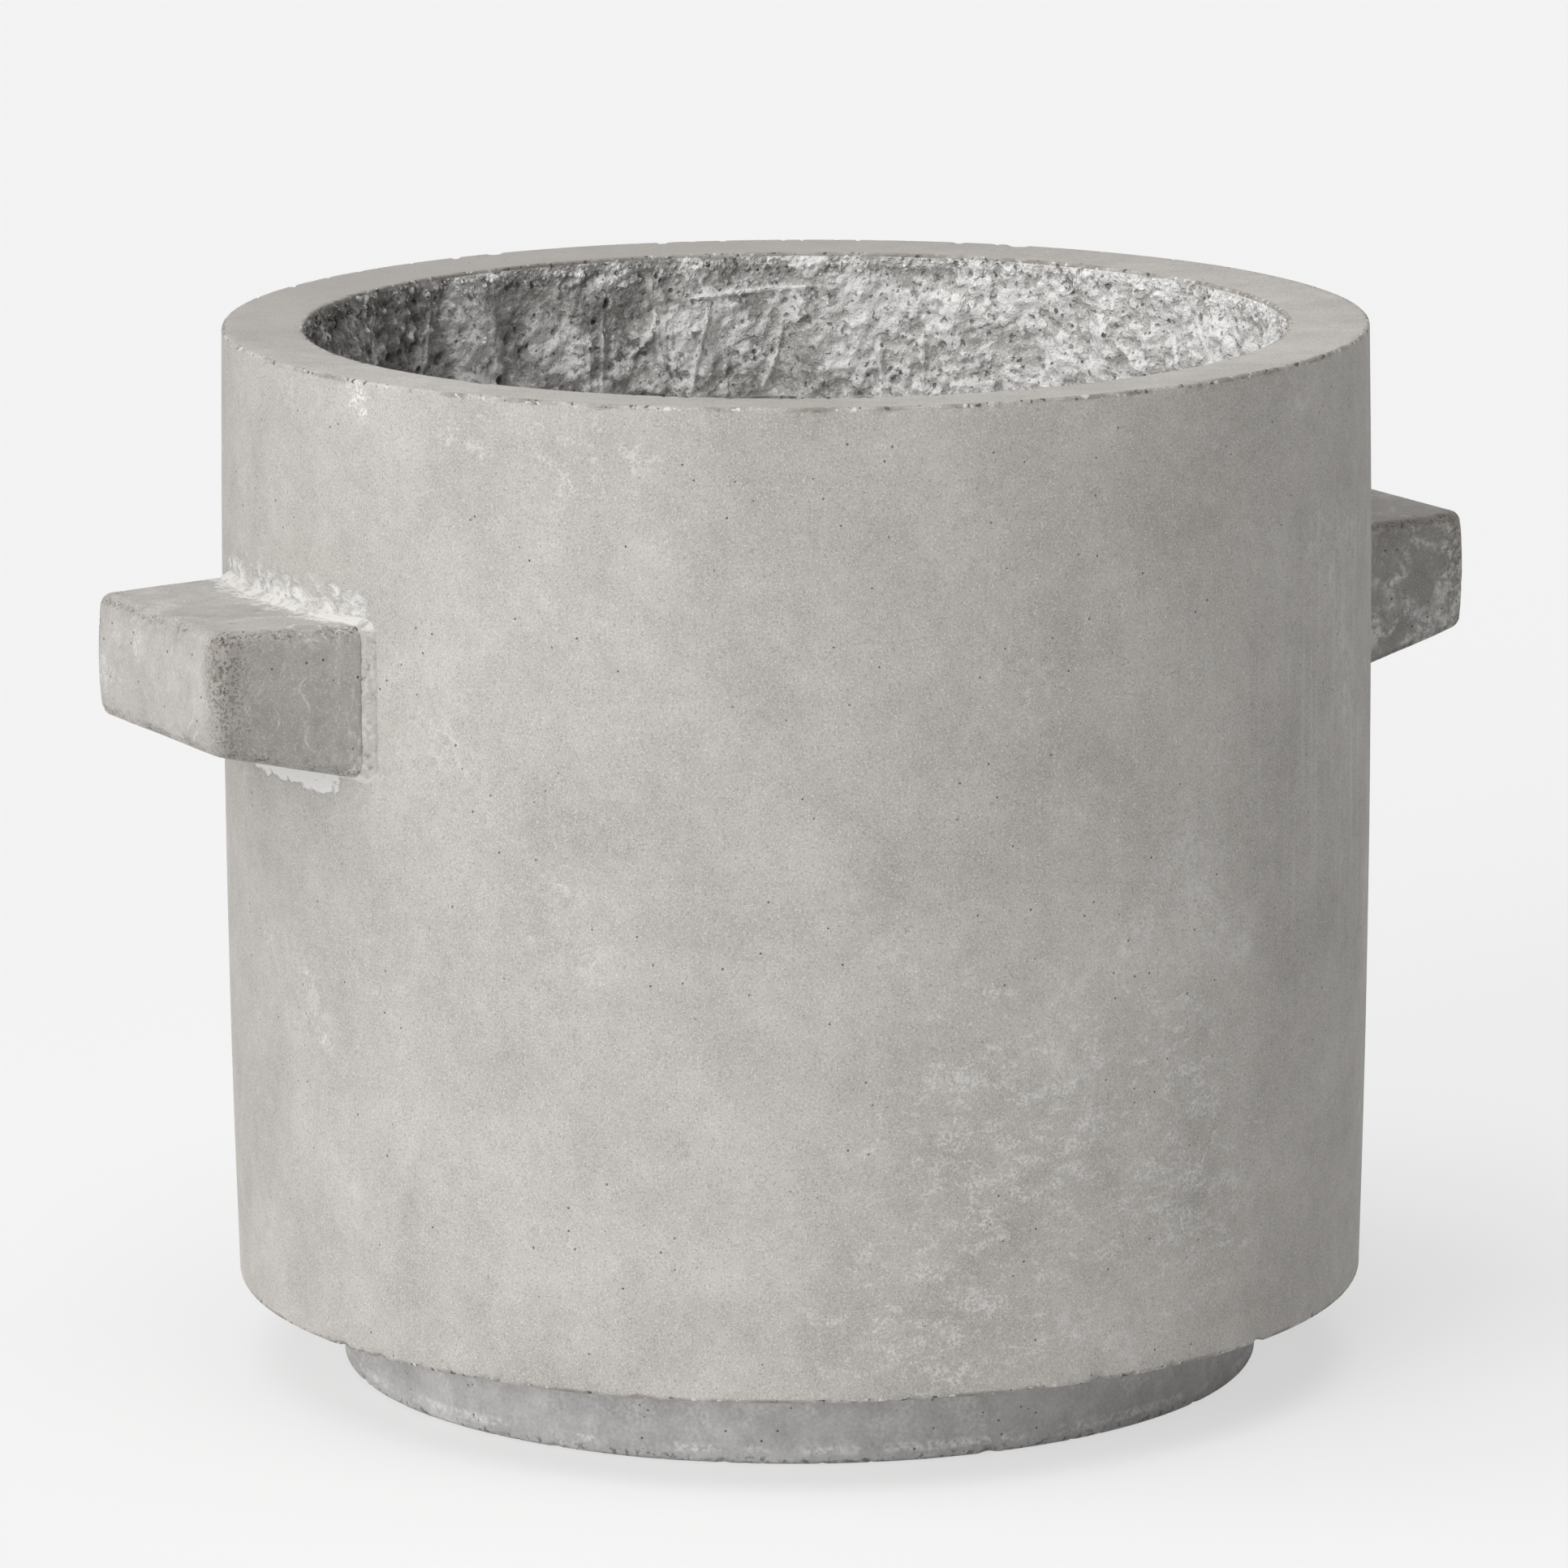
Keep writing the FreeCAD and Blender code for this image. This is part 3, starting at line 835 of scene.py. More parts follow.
def cast_lug(name, node, side, seed, damp_and_shade, places, sizes):
    piece = even_copy(name, node, sizes.lug_voxel, rounds=4)
    crown_end(piece, side)
    points = points_of(piece)
    mark(piece, "edge", lug_edges(points, side))
    mark(piece, "knock", knocked(points, places))
    mark(piece, "rough", np.ones(len(points)))
    # Painted shade over some damp paste: the mark darkens the whole right lug and every lug's sides and top
    mark(piece, "damp_and_shade", np.maximum(damp_and_shade, lug_shade(points)))
    joint_reach = 16 * MM
    joint_drop = 5 * MM
    off_wall = radius_of(points) - belly_radius
    mark(piece, "joint", near(off_wall, joint_reach) * near(lug_high.z - points[:, 2], joint_drop))
    wear_reach = 11 * MM
    foot_share = 0.45
    near_edge = np.hypot(points[:, 0] * side - lug_high.x + wear_reach / 2, points[:, 1] + lug_end_width / 2)
    fall = np.clip((lug_high.z - points[:, 2]) / lug_end_depth, 0, 1)
    mark(piece, "wear", near(near_edge, wear_reach) * (1 - (1 - foot_share) * fall))
    run_tree(piece, weathered_tree(), {
        "Wave size": 30 * MM, "Wave depth": 0.5 * MM,
        "Chip size": 2.6 * MM, "Chip depth": sizes.chip_depth, "Chip start": 0.56,
        "Knock depth": sizes.knock_depth, "Grain size": 7 * MM, "Grain depth": 0.2 * MM,
        "Ease depth": 0.5 * MM, "Swell": 0.25 * MM, "Seed": seed,
    })
    return piece


def cove(piece, side):
    """Presses a lug's mortar back to a small cove that runs into the lug and the wall."""
    points = points_of(piece)
    off_wall = radius_of(points) - barrel_radius(points[:, 2].astype(float))
    half_width, depth = lug_section(points, side)
    underside = lug_high.z - depth
    proud = 0.35 * MM
    spread = 1.9 * MM
    reach = 4 * MM
    sunk = 0.9 * MM
    edge_dip = 0.9 * MM
    limit = proud + spread * np.clip(1 - off_wall / reach, 0, 1) ** 2
    # The bead's outer edge dips into the lug, so that no open groove is left
    dip = edge_dip * np.clip((off_wall - lug_bed) / (bead_height - lug_bed), 0, 1)
    middle = (lug_high.z + underside) / 2
    over = np.clip(np.stack([
        np.abs(points[:, 1]) - half_width + lug_edge_round,
        np.abs(points[:, 2] - middle) - (lug_high.z - underside) / 2 + lug_edge_round,
    ]), 0, None)
    off_core = np.hypot(over[0], over[1])
    pressed = np.clip(np.minimum(off_core, lug_edge_round + limit) - dip, 0, None)
    shift = over * (np.divide(pressed, off_core, out=np.ones_like(off_core), where=off_core > 0) - 1)
    points[:, 1] += np.sign(points[:, 1]) * shift[0]
    points[:, 2] += np.sign(points[:, 2] - middle) * shift[1]
    at_wall = off_wall < sunk
    points[at_wall, :2] *= 1 - sunk / belly_radius
    move_points(piece, points)


def strike_mortar(name, node, side, seed, sizes):
    piece = even_copy(name, node, sizes.mortar_voxel, rounds=2)
    cove(piece, side)
    points = points_of(piece)
    lime_drop = 4 * MM
    lime_rise = 6 * MM
    above = np.clip((points[:, 2] - (lug_high.z - lime_drop)) / lime_drop, 0, 1)
    below = np.clip((lug_low.z + lime_rise - points[:, 2]) / lime_rise, 0, 1)
    mark(piece, "edge", np.ones(len(points)))
    mark(piece, "rough", np.ones(len(points)))
    mark(piece, "lime", np.maximum(above, below))
    run_tree(piece, weathered_tree(), {
        "Wave size": 9 * MM, "Wave depth": 0.4 * MM,
        "Chip size": 2.6 * MM, "Chip depth": 0.4 * MM, "Chip start": 0.58,
        "Knock depth": 0.0, "Grain size": 2.2 * MM, "Grain depth": 0.3 * MM,
        "Ease depth": 0.0, "Swell": 0.35 * MM, "Seed": seed,
    })
    return piece


def foot_outline():
    """The foot's section: out under it, up its drafted side, in under the drum and down the drain."""
    inset = 0.1 * MM
    low = foot_low.z
    high = foot_high.z
    base = foot_top_radius - foot_draft
    side_low = (base - inset, low + foot_round)
    side_high = (foot_top_radius - inset, high)
    stations = run((drain_radius, low), (base - inset - foot_round, low), wall_step)
    stations += arc((base - inset - foot_round, low + foot_round), foot_round, -QUARTER_TURN, 0, edge_step)
    stations += run(side_low, side_high, near_edge_step)
    stations += run(side_high, (drain_radius, high), wall_step)
    stations += run((drain_radius, high), (drain_radius, low), hidden_step)
    return stations + stations[:1]


def cast_foot(sizes):
    piece = turn_piece("concrete_foot", foot_outline(), sizes.foot_segments)
    points = points_of(piece)
    radius = radius_of(points)
    edge_reach = 4 * MM
    base = foot_top_radius - foot_draft
    edge = near(np.hypot(radius - base, points[:, 2] - foot_low.z), edge_reach)
    mark(piece, "edge", edge)
    mark(piece, "knock", knocked(points, [
        (around(base, angle, foot_low.z), reach * MM)
        for angle, reach in ((-150, 3), (-128, 3), (-95, 4), (-60, 3), (70, 4), (170, 4))
    ]))
    mark(piece, "rough", (radius > base - edge_reach) & (points[:, 2] > foot_low.z + foot_round))
    run_tree(piece, weathered_tree(), {
        "Wave size": 40 * MM, "Wave depth": 0.4 * MM,
        "Chip size": 3 * MM, "Chip depth": sizes.chip_depth, "Chip start": 0.58,
        "Knock depth": sizes.knock_depth, "Grain size": 5 * MM, "Grain depth": 0.3 * MM,
        "Ease depth": 0.0, "Swell": 0.0, "Seed": 7.0,
    })
    return piece


def plug_outline():
    """The plug's section: a drafted bung with three sealing ribs, a head, a neck and a rounded knob."""
    rib_count = 3
    rib_stations = 60
    rib_sharpness = 4
    rib_height = 0.25 * MM
    ease = 1.5 * MM
    fine, middling, coarse = 0.35 * MM, 2 * MM, 3 * MM
    head_thickness = 4 * MM
    neck_height = 6 * MM
    bung_gap = 0.55 * MM
    bung_draft = 1.5 * MM
    head_radius = plug_high.x
    head_bottom = floor_top
    head_top = head_bottom + head_thickness
    knob_radius = 10 * MM
    knob_bottom = head_top + neck_height
    neck_radius = 5.5 * MM
    bung_high_radius = sleeve_bore_radius - bung_gap
    bung_low_radius = bung_high_radius - bung_draft
    stations = run((0, plug_low.z), (bung_low_radius - ease, plug_low.z), coarse)
    stations += arc((bung_low_radius - ease, plug_low.z + ease), ease, -QUARTER_TURN, 0, fine)
    rise = head_bottom - plug_low.z - ease
    for index in range(rib_stations):
        share = index / rib_stations
        wave = max(0, math.sin(FULL_TURN * rib_count * share)) ** rib_sharpness
        radius = bung_low_radius + (bung_high_radius - bung_low_radius) * share + rib_height * wave
        stations.append((radius, plug_low.z + ease + rise * share))
    stations += run((bung_high_radius, head_bottom), (head_radius - ease / 2, head_bottom), middling)
    stations += arc((head_radius - ease, head_bottom + ease), ease, -QUARTER_TURN, 0, fine)
    stations += arc((head_radius - ease, head_top - ease), ease, 0, QUARTER_TURN, fine)
    stations += run((head_radius - ease, head_top), (neck_radius + ease, head_top), middling)
    stations += arc((neck_radius + ease, head_top + ease), ease, -QUARTER_TURN, -2 * QUARTER_TURN, fine)
    stations += run((neck_radius, head_top + ease), (neck_radius, knob_bottom - ease), MM)
    stations += arc((neck_radius + ease, knob_bottom - ease), ease, 2 * QUARTER_TURN, QUARTER_TURN, fine)
    round_knob = (plug_high.z - knob_bottom) / 2
    knob = (knob_radius - round_knob, knob_bottom + round_knob)
    stations += arc(knob, round_knob, -QUARTER_TURN, QUARTER_TURN, fine)
    stations += run((knob_radius - round_knob, plug_high.z), (0, plug_high.z), MM)
    return stations + [(0, plug_high.z)]


# Finishes; the sizes in their tables are in millimetres


def cleared(owner):
    """The emptied node tree of a material or a world."""
    owner.use_nodes = True
    owner.node_tree.nodes.clear()
    return owner.node_tree


def new_finish(name):
    """A material with one shader; returns it, its tree, its shader and the object's own coordinates."""
    material = bpy.data.materials.new(name)
    tree = cleared(material)
    shader = add(tree, "ShaderNodeBsdfPrincipled")
    add(tree, "ShaderNodeOutputMaterial", {"Surface": shader.outputs["BSDF"]})
    place = add(tree, "ShaderNodeTexCoord").outputs["Object"]
    return material, tree, shader, place


def opaque(colour):
    return (*colour, 1)


def layered_tone(tree, place, layers):
    """Lightness about a half from noise layers, each a size, a detail and a share of the whole."""
    roughness = 0.6
    return blend(tree, [
        (noise(tree, place, 1 / (size * MM), detail, roughness)[0], share) for size, detail, share in layers
    ])


def band(tree, value, middle, full, reach):
    """1 where a value is within the full reach of the middle, 0 past the outer reach."""
    gap = calc(tree, "ABSOLUTE", calc(tree, "SUBTRACT", value, middle))
    return ramp(tree, gap, reach, full)


def patches(tree, place, size, grain, start, full):
    """Ragged patches: broad noise above a start, broken up by a finer grain."""
    grain_start, grain_full = 0.4, 0.62
    broad = noise(tree, place, 1 / (size * MM), 5, 0.65, 0.4)[0]
    fine = noise(tree, place, 1 / (grain * MM), 3, 0.7)[0]
    return product(tree, ramp(tree, broad, start, full), ramp(tree, fine, grain_start, grain_full))


def air_holes(tree, place, spacing, radius):
    """Round pinholes where the face cuts through trapped air, thicker in some places than in others."""
    soft_share = 0.6
    cluster_spacings, cluster_start, cluster_full = 9, 0.4, 0.5
    cells = add(tree, "ShaderNodeTexVoronoi", {"Vector": place, "Scale": 1 / (spacing * MM)}).outputs
    hole = ramp(tree, cells["Distance"], radius / spacing, soft_share * radius / spacing)
    cluster = noise(tree, place, 1 / (cluster_spacings * spacing * MM), 1)[0]
    return product(tree, hole, remap(tree, cluster, cluster_start, cluster_full))


def flecks(tree, place, size, start, full):
    """Single grains that stand out of a fine noise."""
    return remap(tree, noise(tree, place, 1 / (size * MM), 1)[0], start, full)


def all_flecks(tree, place, layers):
    """Flecks by name, each from a size and the noise levels where they start and are full."""
    return {name: flecks(tree, place, *layer) for name, layer in layers.items()}


def all_patches(tree, place, layers):
    """Patches by name, each from a size, a grain and the noise levels where they start and are full."""
    return {name: patches(tree, place, *layer) for name, layer in layers.items()}


def ragged(tree, place, zone, zone_share, size, start, full):
    """A zone torn up by noise: the larger its share, the better the zone itself shows."""
    zone_full = 0.15
    torn = blend(tree, [(noise(tree, place, 1 / (size * MM), 5, 0.7, 0.6)[0], 1), (zone, zone_share)])
    return product(tree, ramp(tree, torn, start, full), remap(tree, zone, 0, zone_full))


def own(tree, name):
    """An attribute of the piece's mesh."""
    return add(tree, "ShaderNodeAttribute", attribute_name=name).outputs["Fac"]


def scratches(tree, place, size, width):
    """Fine curling lines, the level lines of a broad noise."""
    level_share = 0.5
    return band(tree, noise(tree, place, 1 / (size * MM), 1)[0], level_share, 0, width / size)


def spots(radius, places):
    """Places on the pot, each from an angle in degrees, a level and a reach."""
    return [(around(radius, angle, level * MM), reach * MM) for angle, level, reach in places]


def zones(tree, place, places):
    """1 at each place, falling to 0 at its reach."""
    total = 0
    for centre, reach in places:
        gap = add(tree, "ShaderNodeVectorMath", {0: place, 1: centre}, operation="DISTANCE").outputs["Value"]
        total = calc(tree, "MAXIMUM", ramp(tree, gap, reach, 0), total)
    return total


def mixed(tree, share, first, second):
    """A colour between two."""
    return add(tree, "ShaderNodeMix", {
        0: share, MIX_A: first, MIX_B: second,
    }, data_type="RGBA").outputs[MIX_COLOUR]


def washed(tree, colour, layers):
    """Lays colours over a colour, each by its mask and its strength."""
    for mask, strength, over in layers:
        colour = mixed(tree, product(tree, mask, strength), colour, opaque(over))
    return colour


def two_tone(tree, tone, start, full, dark, light):
    """Dark to light paste between two levels of a tone."""
    return mixed(tree, remap(tree, tone, start, full), opaque(dark), opaque(light))


def coat(tree, shader, colour, roughness, heights, depth):
    """Gives a shader its colour, its roughness and bump from heights, each with its share of the depth."""
    height = blend(tree, heights)
    bump = add(tree, "ShaderNodeBump", {"Strength": 1, "Distance": depth * MM, "Height": height})
    feed(tree, shader.inputs["Base Color"], colour)
    feed(tree, shader.inputs["Roughness"], roughness)
    feed(tree, shader.inputs["Normal"], bump.outputs[0])


def face_concrete(colours):
    """Fair-faced concrete, cast against a smooth mould: soft clouds, pale sand, pinholes and lime scuffs."""
    material, tree, shader, place = new_finish("fair_faced_concrete")
    axes = axes_of(tree, place)
    tone = layered_tone(tree, place, [(110, 3, 0.34), (26, 4, 0.28), (6, 3, 0.18), (0.8, 2, 0.2)])
    sand = layered_tone(tree, place, [(0.9, 2, 1)])
    grains = all_flecks(tree, place, {
        "pale": (0.5, 0.54, 0.68), "dark": (0.8, 0.42, 0.28), "crumb": (1.2, 0.4, 0.56),
        "sandy": (1.6, 0.3, 0.5), "pit": (2.4, 0.37, 0.31), "lime": (2.6, 0.64, 0.68),
    })
    bloom = patches(tree, place, 60, 4, 0.54, 0.7)
    holes = air_holes(tree, place, 6.5, 0.45)
    # Scuffs by the rim on the left, and fainter ones low on the right, drawn out sideways
    level_shares = (0.6, 0.6, 1)
    laid = calc_vector(tree, "MULTIPLY", place, level_shares)
    knocks = zones(tree, place, spots(rim_radius, ((-166, 363, 9), (-165, 357, 6))))
    low_spots = spots(belly_radius, ((-96, 120, 75), (-79, 92, 60), (-80, 145, 40), (-104, 56, 60)))
    high_spots = spots(rim_radius, ((-141, 350, 22), (-134, 349, 14), (-152, 353, 16)))
    rubbed = zones(tree, place, low_spots + high_spots)
    knocked_lime = product(tree, grains["crumb"], ragged(tree, laid, knocks, 0.3, 5, 0.6, 0.8))
    rub = product(tree, grains["crumb"], ragged(tree, laid, rubbed, 0.1, 6, 0.54, 0.7))

    def strip(aside, height):
        """A strip on the wall: its middle, full reach and outer reach to the side and upwards."""
        return product(tree, band(tree, axes["Y"], *aside), band(tree, axes["Z"], *height))

    # Lime crystals that crept out of the lug joints, up from the top and down from the underside
    half_root = lug_root_width / 2
    up_aside, up_height = (0, half_root - 6 * MM, half_root + 5 * MM), (lug_high.z + MM, 2 * MM, 17 * MM)
    down_aside, down_height = (-6 * MM, 24 * MM, 40 * MM), (lug_low.z - 2 * MM, 4 * MM, 11 * MM)
    crept_up = ragged(tree, laid, strip(up_aside, up_height), 0.26, 4, 0.6, 0.86)
    crept_down = ragged(tree, laid, strip(down_aside, down_height), 0.4, 6, 0.7, 0.8)
    crystals = calc(tree, "MAXIMUM", crept_up, crept_down)
    marked = product(tree, scratches(tree, place, 34, 0.14), bloom)
    # Trowel lines down the wall on the right
    streak_shares = (1, 1, 0.04)
    drawn = calc_vector(tree, "MULTIPLY", place, streak_shares)
    trowelled = zones(tree, place, spots(belly_radius, ((-45, 240, 150),)))
    streaks = product(tree, flecks(tree, drawn, 3.5, 0.52, 0.7), trowelled)
    # Sand and pits along the worn edges, and a duller rim at the back
    worn_runs = ramp(tree, layered_tone(tree, place, [(22, 3, 1)]), 0.42, 0.62)
    edge = product(tree, worn_runs, ramp(tree, own(tree, "edge"), 0.45, 0.8))
    corner = ramp(tree, own(tree, "edge"), 0.5, 0.75)
    rim_zone, rim_full = 4 * MM, 2 * MM
    on_rim = ramp(tree, axes["Z"], drum_top - rim_zone, drum_top - rim_full)
    dull_rim = product(tree, on_rim, ramp(tree, axes["Y"], 0, rim_radius))
    colour = two_tone(tree, tone, 0.36, 0.64, colours.face_dark, colours.face_light)
    colour = washed(tree, colour, [
        (grains["pale"], 0.42, colours.lime), (grains["dark"], 0.42, colours.worn),
        (bloom, 0.28, colours.lime), (streaks, 0.18, colours.lime), (rub, 0.42, colours.lime),
        (knocked_lime, 0.85, colours.lime), (marked, 0.5, colours.lime), (crystals, 0.85, colours.lime),
        (dull_rim, 0.7, colours.face_dark), (product(tree, corner, worn_runs), 0.3, colours.pore),
        (product(tree, edge, grains["sandy"]), 0.75, colours.worn), (own(tree, "chip"), 0.6, colours.worn),
        (product(tree, corner, grains["lime"]), 0.7, colours.lime),
        (product(tree, corner, grains["pit"]), 0.85, colours.pore), (holes, 0.75, colours.pore),
    ])
    coat(tree, shader, colour, 0.8, [(sand, 0.4), (crystals, 1), (holes, -1)], 0.5)
    return material


def lining_concrete(colours):
    """Hand-packed concrete: dense grey paste, white lime on its lumps and a shiny film over much of it."""
    material, tree, shader, place = new_finish("hand_packed_concrete")
    tone = layered_tone(tree, place, [(22, 4, 0.36), (5, 5, 0.34), (1.4, 2, 0.3)])
    grit = layered_tone(tree, place, [(3.2, 4, 1)])
    sand = layered_tone(tree, place, [(1.1, 2, 1)])
    grains = all_flecks(tree, place, {
        "lime": (1.5, 0.59, 0.65), "pit": (2.4, 0.35, 0.27), "dark": (1.3, 0.42, 0.32),
    })
    # Lighter on raised lumps and darker in the hollows: partly lime on the lumps, partly painted shade in the
    # hollows
    relief_lime_and_shade = ramp(tree, own(tree, "relief"), -0.6, 0.6)
    # Lighter towards +X, the side away from the left lug and the side inside the pot that the light falls on:
    # partly more lime, partly painted light; darker on the shaded side
    lime_and_lit_side = remap(tree, axes_of(tree, place)["X"], -lip_radius, lip_radius)
    # Painted highlights: pale strips down a few of the folds, where the glossy film shines in the light
    film_highlights = zones(tree, place, spots(lip_radius, [
        (angle, level, 16)
        for angle, level in ((105, 357), (105, 346), (104, 335), (92, 338), (74, 338), (55, 334), (52, 350))
    ]))
    paste = blend(tree, [(tone, 1), (lime_and_lit_side, 0.4), (relief_lime_and_shade, 0.3), (film_highlights, 0.72)])
    skin = layered_tone(tree, place, [(15, 6, 0.75), (3, 3, 0.25)])
    lime = ramp(tree, blend(tree, [(skin, 1), (lime_and_lit_side, 0.24), (relief_lime_and_shade, 0.25), (film_highlights, 0.5)]), 0.73, 0.81)
    holes = air_holes(tree, place, 7, 1)
    colour = two_tone(tree, paste, 0.56, 1, colours.lining_dark, colours.lining_light)
    colour = washed(tree, colour, [
        (lime, 0.95, colours.film), (product(tree, lime_and_lit_side, grains["lime"]), 0.7, colours.film),
        (own(tree, "crease"), 0.35, colours.film), (grains["dark"], 0.22, colours.pore),
        (grains["pit"], 0.5, colours.pore), (holes, 0.8, colours.pore),
    ])
    gloss = remap(tree, own(tree, "film"), 0, 1, 0.7, 0.28)
    heights = [(grit, 1.8), (sand, 0.7), (lime, 0.6), (grains["pit"], -0.8), (holes, -1)]
    coat(tree, shader, colour, gloss, heights, 0.9)
    return material


def lug_concrete(colours):
    """Cast concrete, handled and knocked: smooth faces, brown sand on the worn edges and thin lime veins."""
    material, tree, shader, place = new_finish("worn_cast_concrete")
    axes = axes_of(tree, place)
    tone = layered_tone(tree, place, [(45, 3, 0.35), (11, 4, 0.3), (4, 3, 0.15), (1.2, 2, 0.2)])
    sand = layered_tone(tree, place, [(1.3, 2, 1)])
    grains = all_flecks(tree, place, {
        "pale": (0.6, 0.55, 0.7), "sandy": (1.7, 0.36, 0.56),
        "pit": (1, 0.42, 0.34), "wear": (1.1, 0.46, 0.36),
    })
    areas = all_patches(tree, place, {
        "stain": (26, 5, 0.4, 0.56), "bloom": (22, 1.2, 0.54, 0.66), "curl": (40, 8, 0.5, 0.6),
        "wet": (24, 3, 0.3, 0.48),
    })
    holes = air_holes(tree, place, 5, 0.5)
    vein = product(tree, scratches(tree, place, 16, 0.4), areas["curl"])
    # Lime that swirled in the wet mix of the right lug, and painted shade along the lug's edges
    stir_size, stir_reach = 9 * MM, 7 * MM
    stir = noise(tree, place, 1 / stir_size, 3)["Color"]
    swirled = calc_vector(tree, "MULTIPLY_ADD", stir, (stir_reach,) * 3, place)
    swirls = product(tree, scratches(tree, swirled, 17, 2), areas["wet"])
    # Damp paste and painted shade: the whole right lug is darker, and so are the lugs' sides and tops
    damp_and_shade = own(tree, "damp_and_shade")
    soaked_and_shaded = ramp(tree, damp_and_shade, 0.7, 1)
    bare_drop, swirl_drop = MM, 4 * MM
    below_top = ramp(tree, axes["Z"], lug_high.z - bare_drop, lug_high.z - swirl_drop)
    wet_vein = product(tree, below_top, product(tree, soaked_and_shaded, swirls))
    # Painted shade: a dark band along the right lug's edges
    shaded_edge = product(tree, soaked_and_shaded, ramp(tree, own(tree, "edge"), 0.5, 0.8))
    worn_runs = ramp(tree, layered_tone(tree, place, [(16, 3, 1)]), 0.38, 0.6)
    edge = product(tree, worn_runs, ramp(tree, own(tree, "edge"), 0.4, 0.85))
    edge_pits = product(tree, edge, grains["pit"])
    # Marks of the float, drawn down the worn edge and the sides by the root
    drag_shares = (1, 1, 0.3)
    drawn = calc_vector(tree, "MULTIPLY", place, drag_shares)
    out = calc(tree, "ABSOLUTE", axes["X"])
    drag_reach, drag_full = 18 * MM, 5 * MM
    by_root = ramp(tree, out, lug_root_reach + drag_reach, lug_root_reach + drag_full)
    drag = product(tree, by_root, patches(tree, drawn, 9, 1.5, 0.46, 0.6))
    wear = ragged(tree, drawn, own(tree, "wear"), 0.6, 3, 0.68, 0.9)
    wear_pits = product(tree, own(tree, "wear"), grains["wear"])
    joint_lime = ragged(tree, place, own(tree, "joint"), 0.4, 5, 0.64, 0.84)
    colour = two_tone(tree, tone, 0.36, 0.64, colours.lug_dark, colours.lug_light)
    colour = washed(tree, colour, [
        (damp_and_shade, 0.5, colours.damp_and_shade), (product(tree, damp_and_shade, areas["stain"]), 0.5, colours.damp_and_shade),
        (grains["pale"], 0.25, colours.lime), (areas["bloom"], 0.4, colours.lime), (vein, 0.4, colours.lime),
        (soaked_and_shaded, 0.2, colours.damp_and_shade), (wet_vein, 0.6, colours.lime), (shaded_edge, 0.35, colours.pore),
        (product(tree, edge, grains["sandy"]), 0.6, colours.worn), (own(tree, "chip"), 0.6, colours.worn),
        (wear, 0.34, colours.worn), (drag, 0.5, colours.lime), (joint_lime, 0.75, colours.lime),
        (edge_pits, 0.7, colours.pore), (wear_pits, 0.55, colours.pore), (holes, 0.85, colours.pore),
    ])
    gloss = remap(tree, wet_vein, 0, 1, 0.78, 0.35)
    coat(tree, shader, colour, gloss, [(sand, 0.4), (edge_pits, -0.8), (wear_pits, -1), (holes, -1)], 0.5)
    return material


def foot_concrete(colours):
    """Cast concrete that stood moist: blue-grey mottling with lime run along its lower edge."""
    material, tree, shader, place = new_finish("damp_cast_concrete")
    rise = axes_of(tree, place)["Z"]
    tone = layered_tone(tree, place, [(35, 3, 0.35), (9, 4, 0.35), (1.3, 2, 0.3)])
    sand = layered_tone(tree, place, [(1.5, 2, 1)])
    areas = all_patches(tree, place, {"bloom": (13, 1.6, 0.46, 0.64), "run": (30, 2.2, 0.4, 0.5)})
    holes = air_holes(tree, place, 5, 0.5)
    # Each run along the edge has a level, a full reach and an outer reach
    run_levels = (5.5 * MM, 0.6 * MM, 2.6 * MM)
    low_speck_levels = (MM, MM, 3 * MM)
    run_off = product(tree, band(tree, rise, *run_levels), areas["run"])
    # Dark specks at the very bottom of the foot, along its edge
    low_specks = product(tree, band(tree, rise, *low_speck_levels), flecks(tree, place, 2.4, 0.42, 0.34))
    colour = two_tone(tree, tone, 0.36, 0.64, colours.foot_dark, colours.foot_light)
    colour = washed(tree, colour, [
        (areas["bloom"], 0.4, colours.lime), (run_off, 0.75, colours.lime),
        (own(tree, "chip"), 0.5, colours.worn), (low_specks, 0.6, colours.pore), (holes, 0.75, colours.pore),
    ])
    coat(tree, shader, colour, 0.75, [(sand, 0.45), (holes, -1)], 0.5)
    return material


def lime_mortar(colours):
    """Struck lime mortar: sandy grey, with white lime crystals above and below the lug."""
    material, tree, shader, place = new_finish("struck_lime_mortar")
    tone = layered_tone(tree, place, [(14, 4, 0.5), (1.6, 3, 0.5)])
    sand = layered_tone(tree, place, [(1.4, 3, 1)])
    crystals = ragged(tree, place, own(tree, "lime"), 0.3, 7, 0.64, 0.82)
    streaks = patches(tree, place, 9, 1.6, 0.48, 0.6)
    colour = two_tone(tree, tone, 0.34, 0.66, colours.mortar_dark, colours.face_light)
    colour = washed(tree, colour, [
        (streaks, 0.5, colours.mortar_light), (crystals, 0.9, colours.mortar_light),
        (own(tree, "chip"), 0.5, colours.worn),
    ])
    coat(tree, shader, colour, 0.85, [(sand, 1)], 0.4)
    return material


def drawn_steel(colours):
    """Drawn reinforcing bar: dull grey mill skin, die lines along it and a breath of flash rust."""
    material, tree, shader, place = new_finish("drawn_steel_bar")
    rust = patches(tree, place, 18, 2, 0.48, 0.66)
    tone = layered_tone(tree, place, [(6, 3, 1)])
    colour = two_tone(tree, tone, 0.2, 0.9, colours.rust, colours.steel)
    colour = washed(tree, colour, [(rust, 0.6, colours.rust)])
    feed(tree, shader.inputs["Metallic"], remap(tree, rust, 0, 1, 1, 0.2))
    dull = remap(tree, rust, 0, 1, 0.45, 0.85)
    coat(tree, shader, colour, dull, [(tone, 1)], 0.1)
    return material


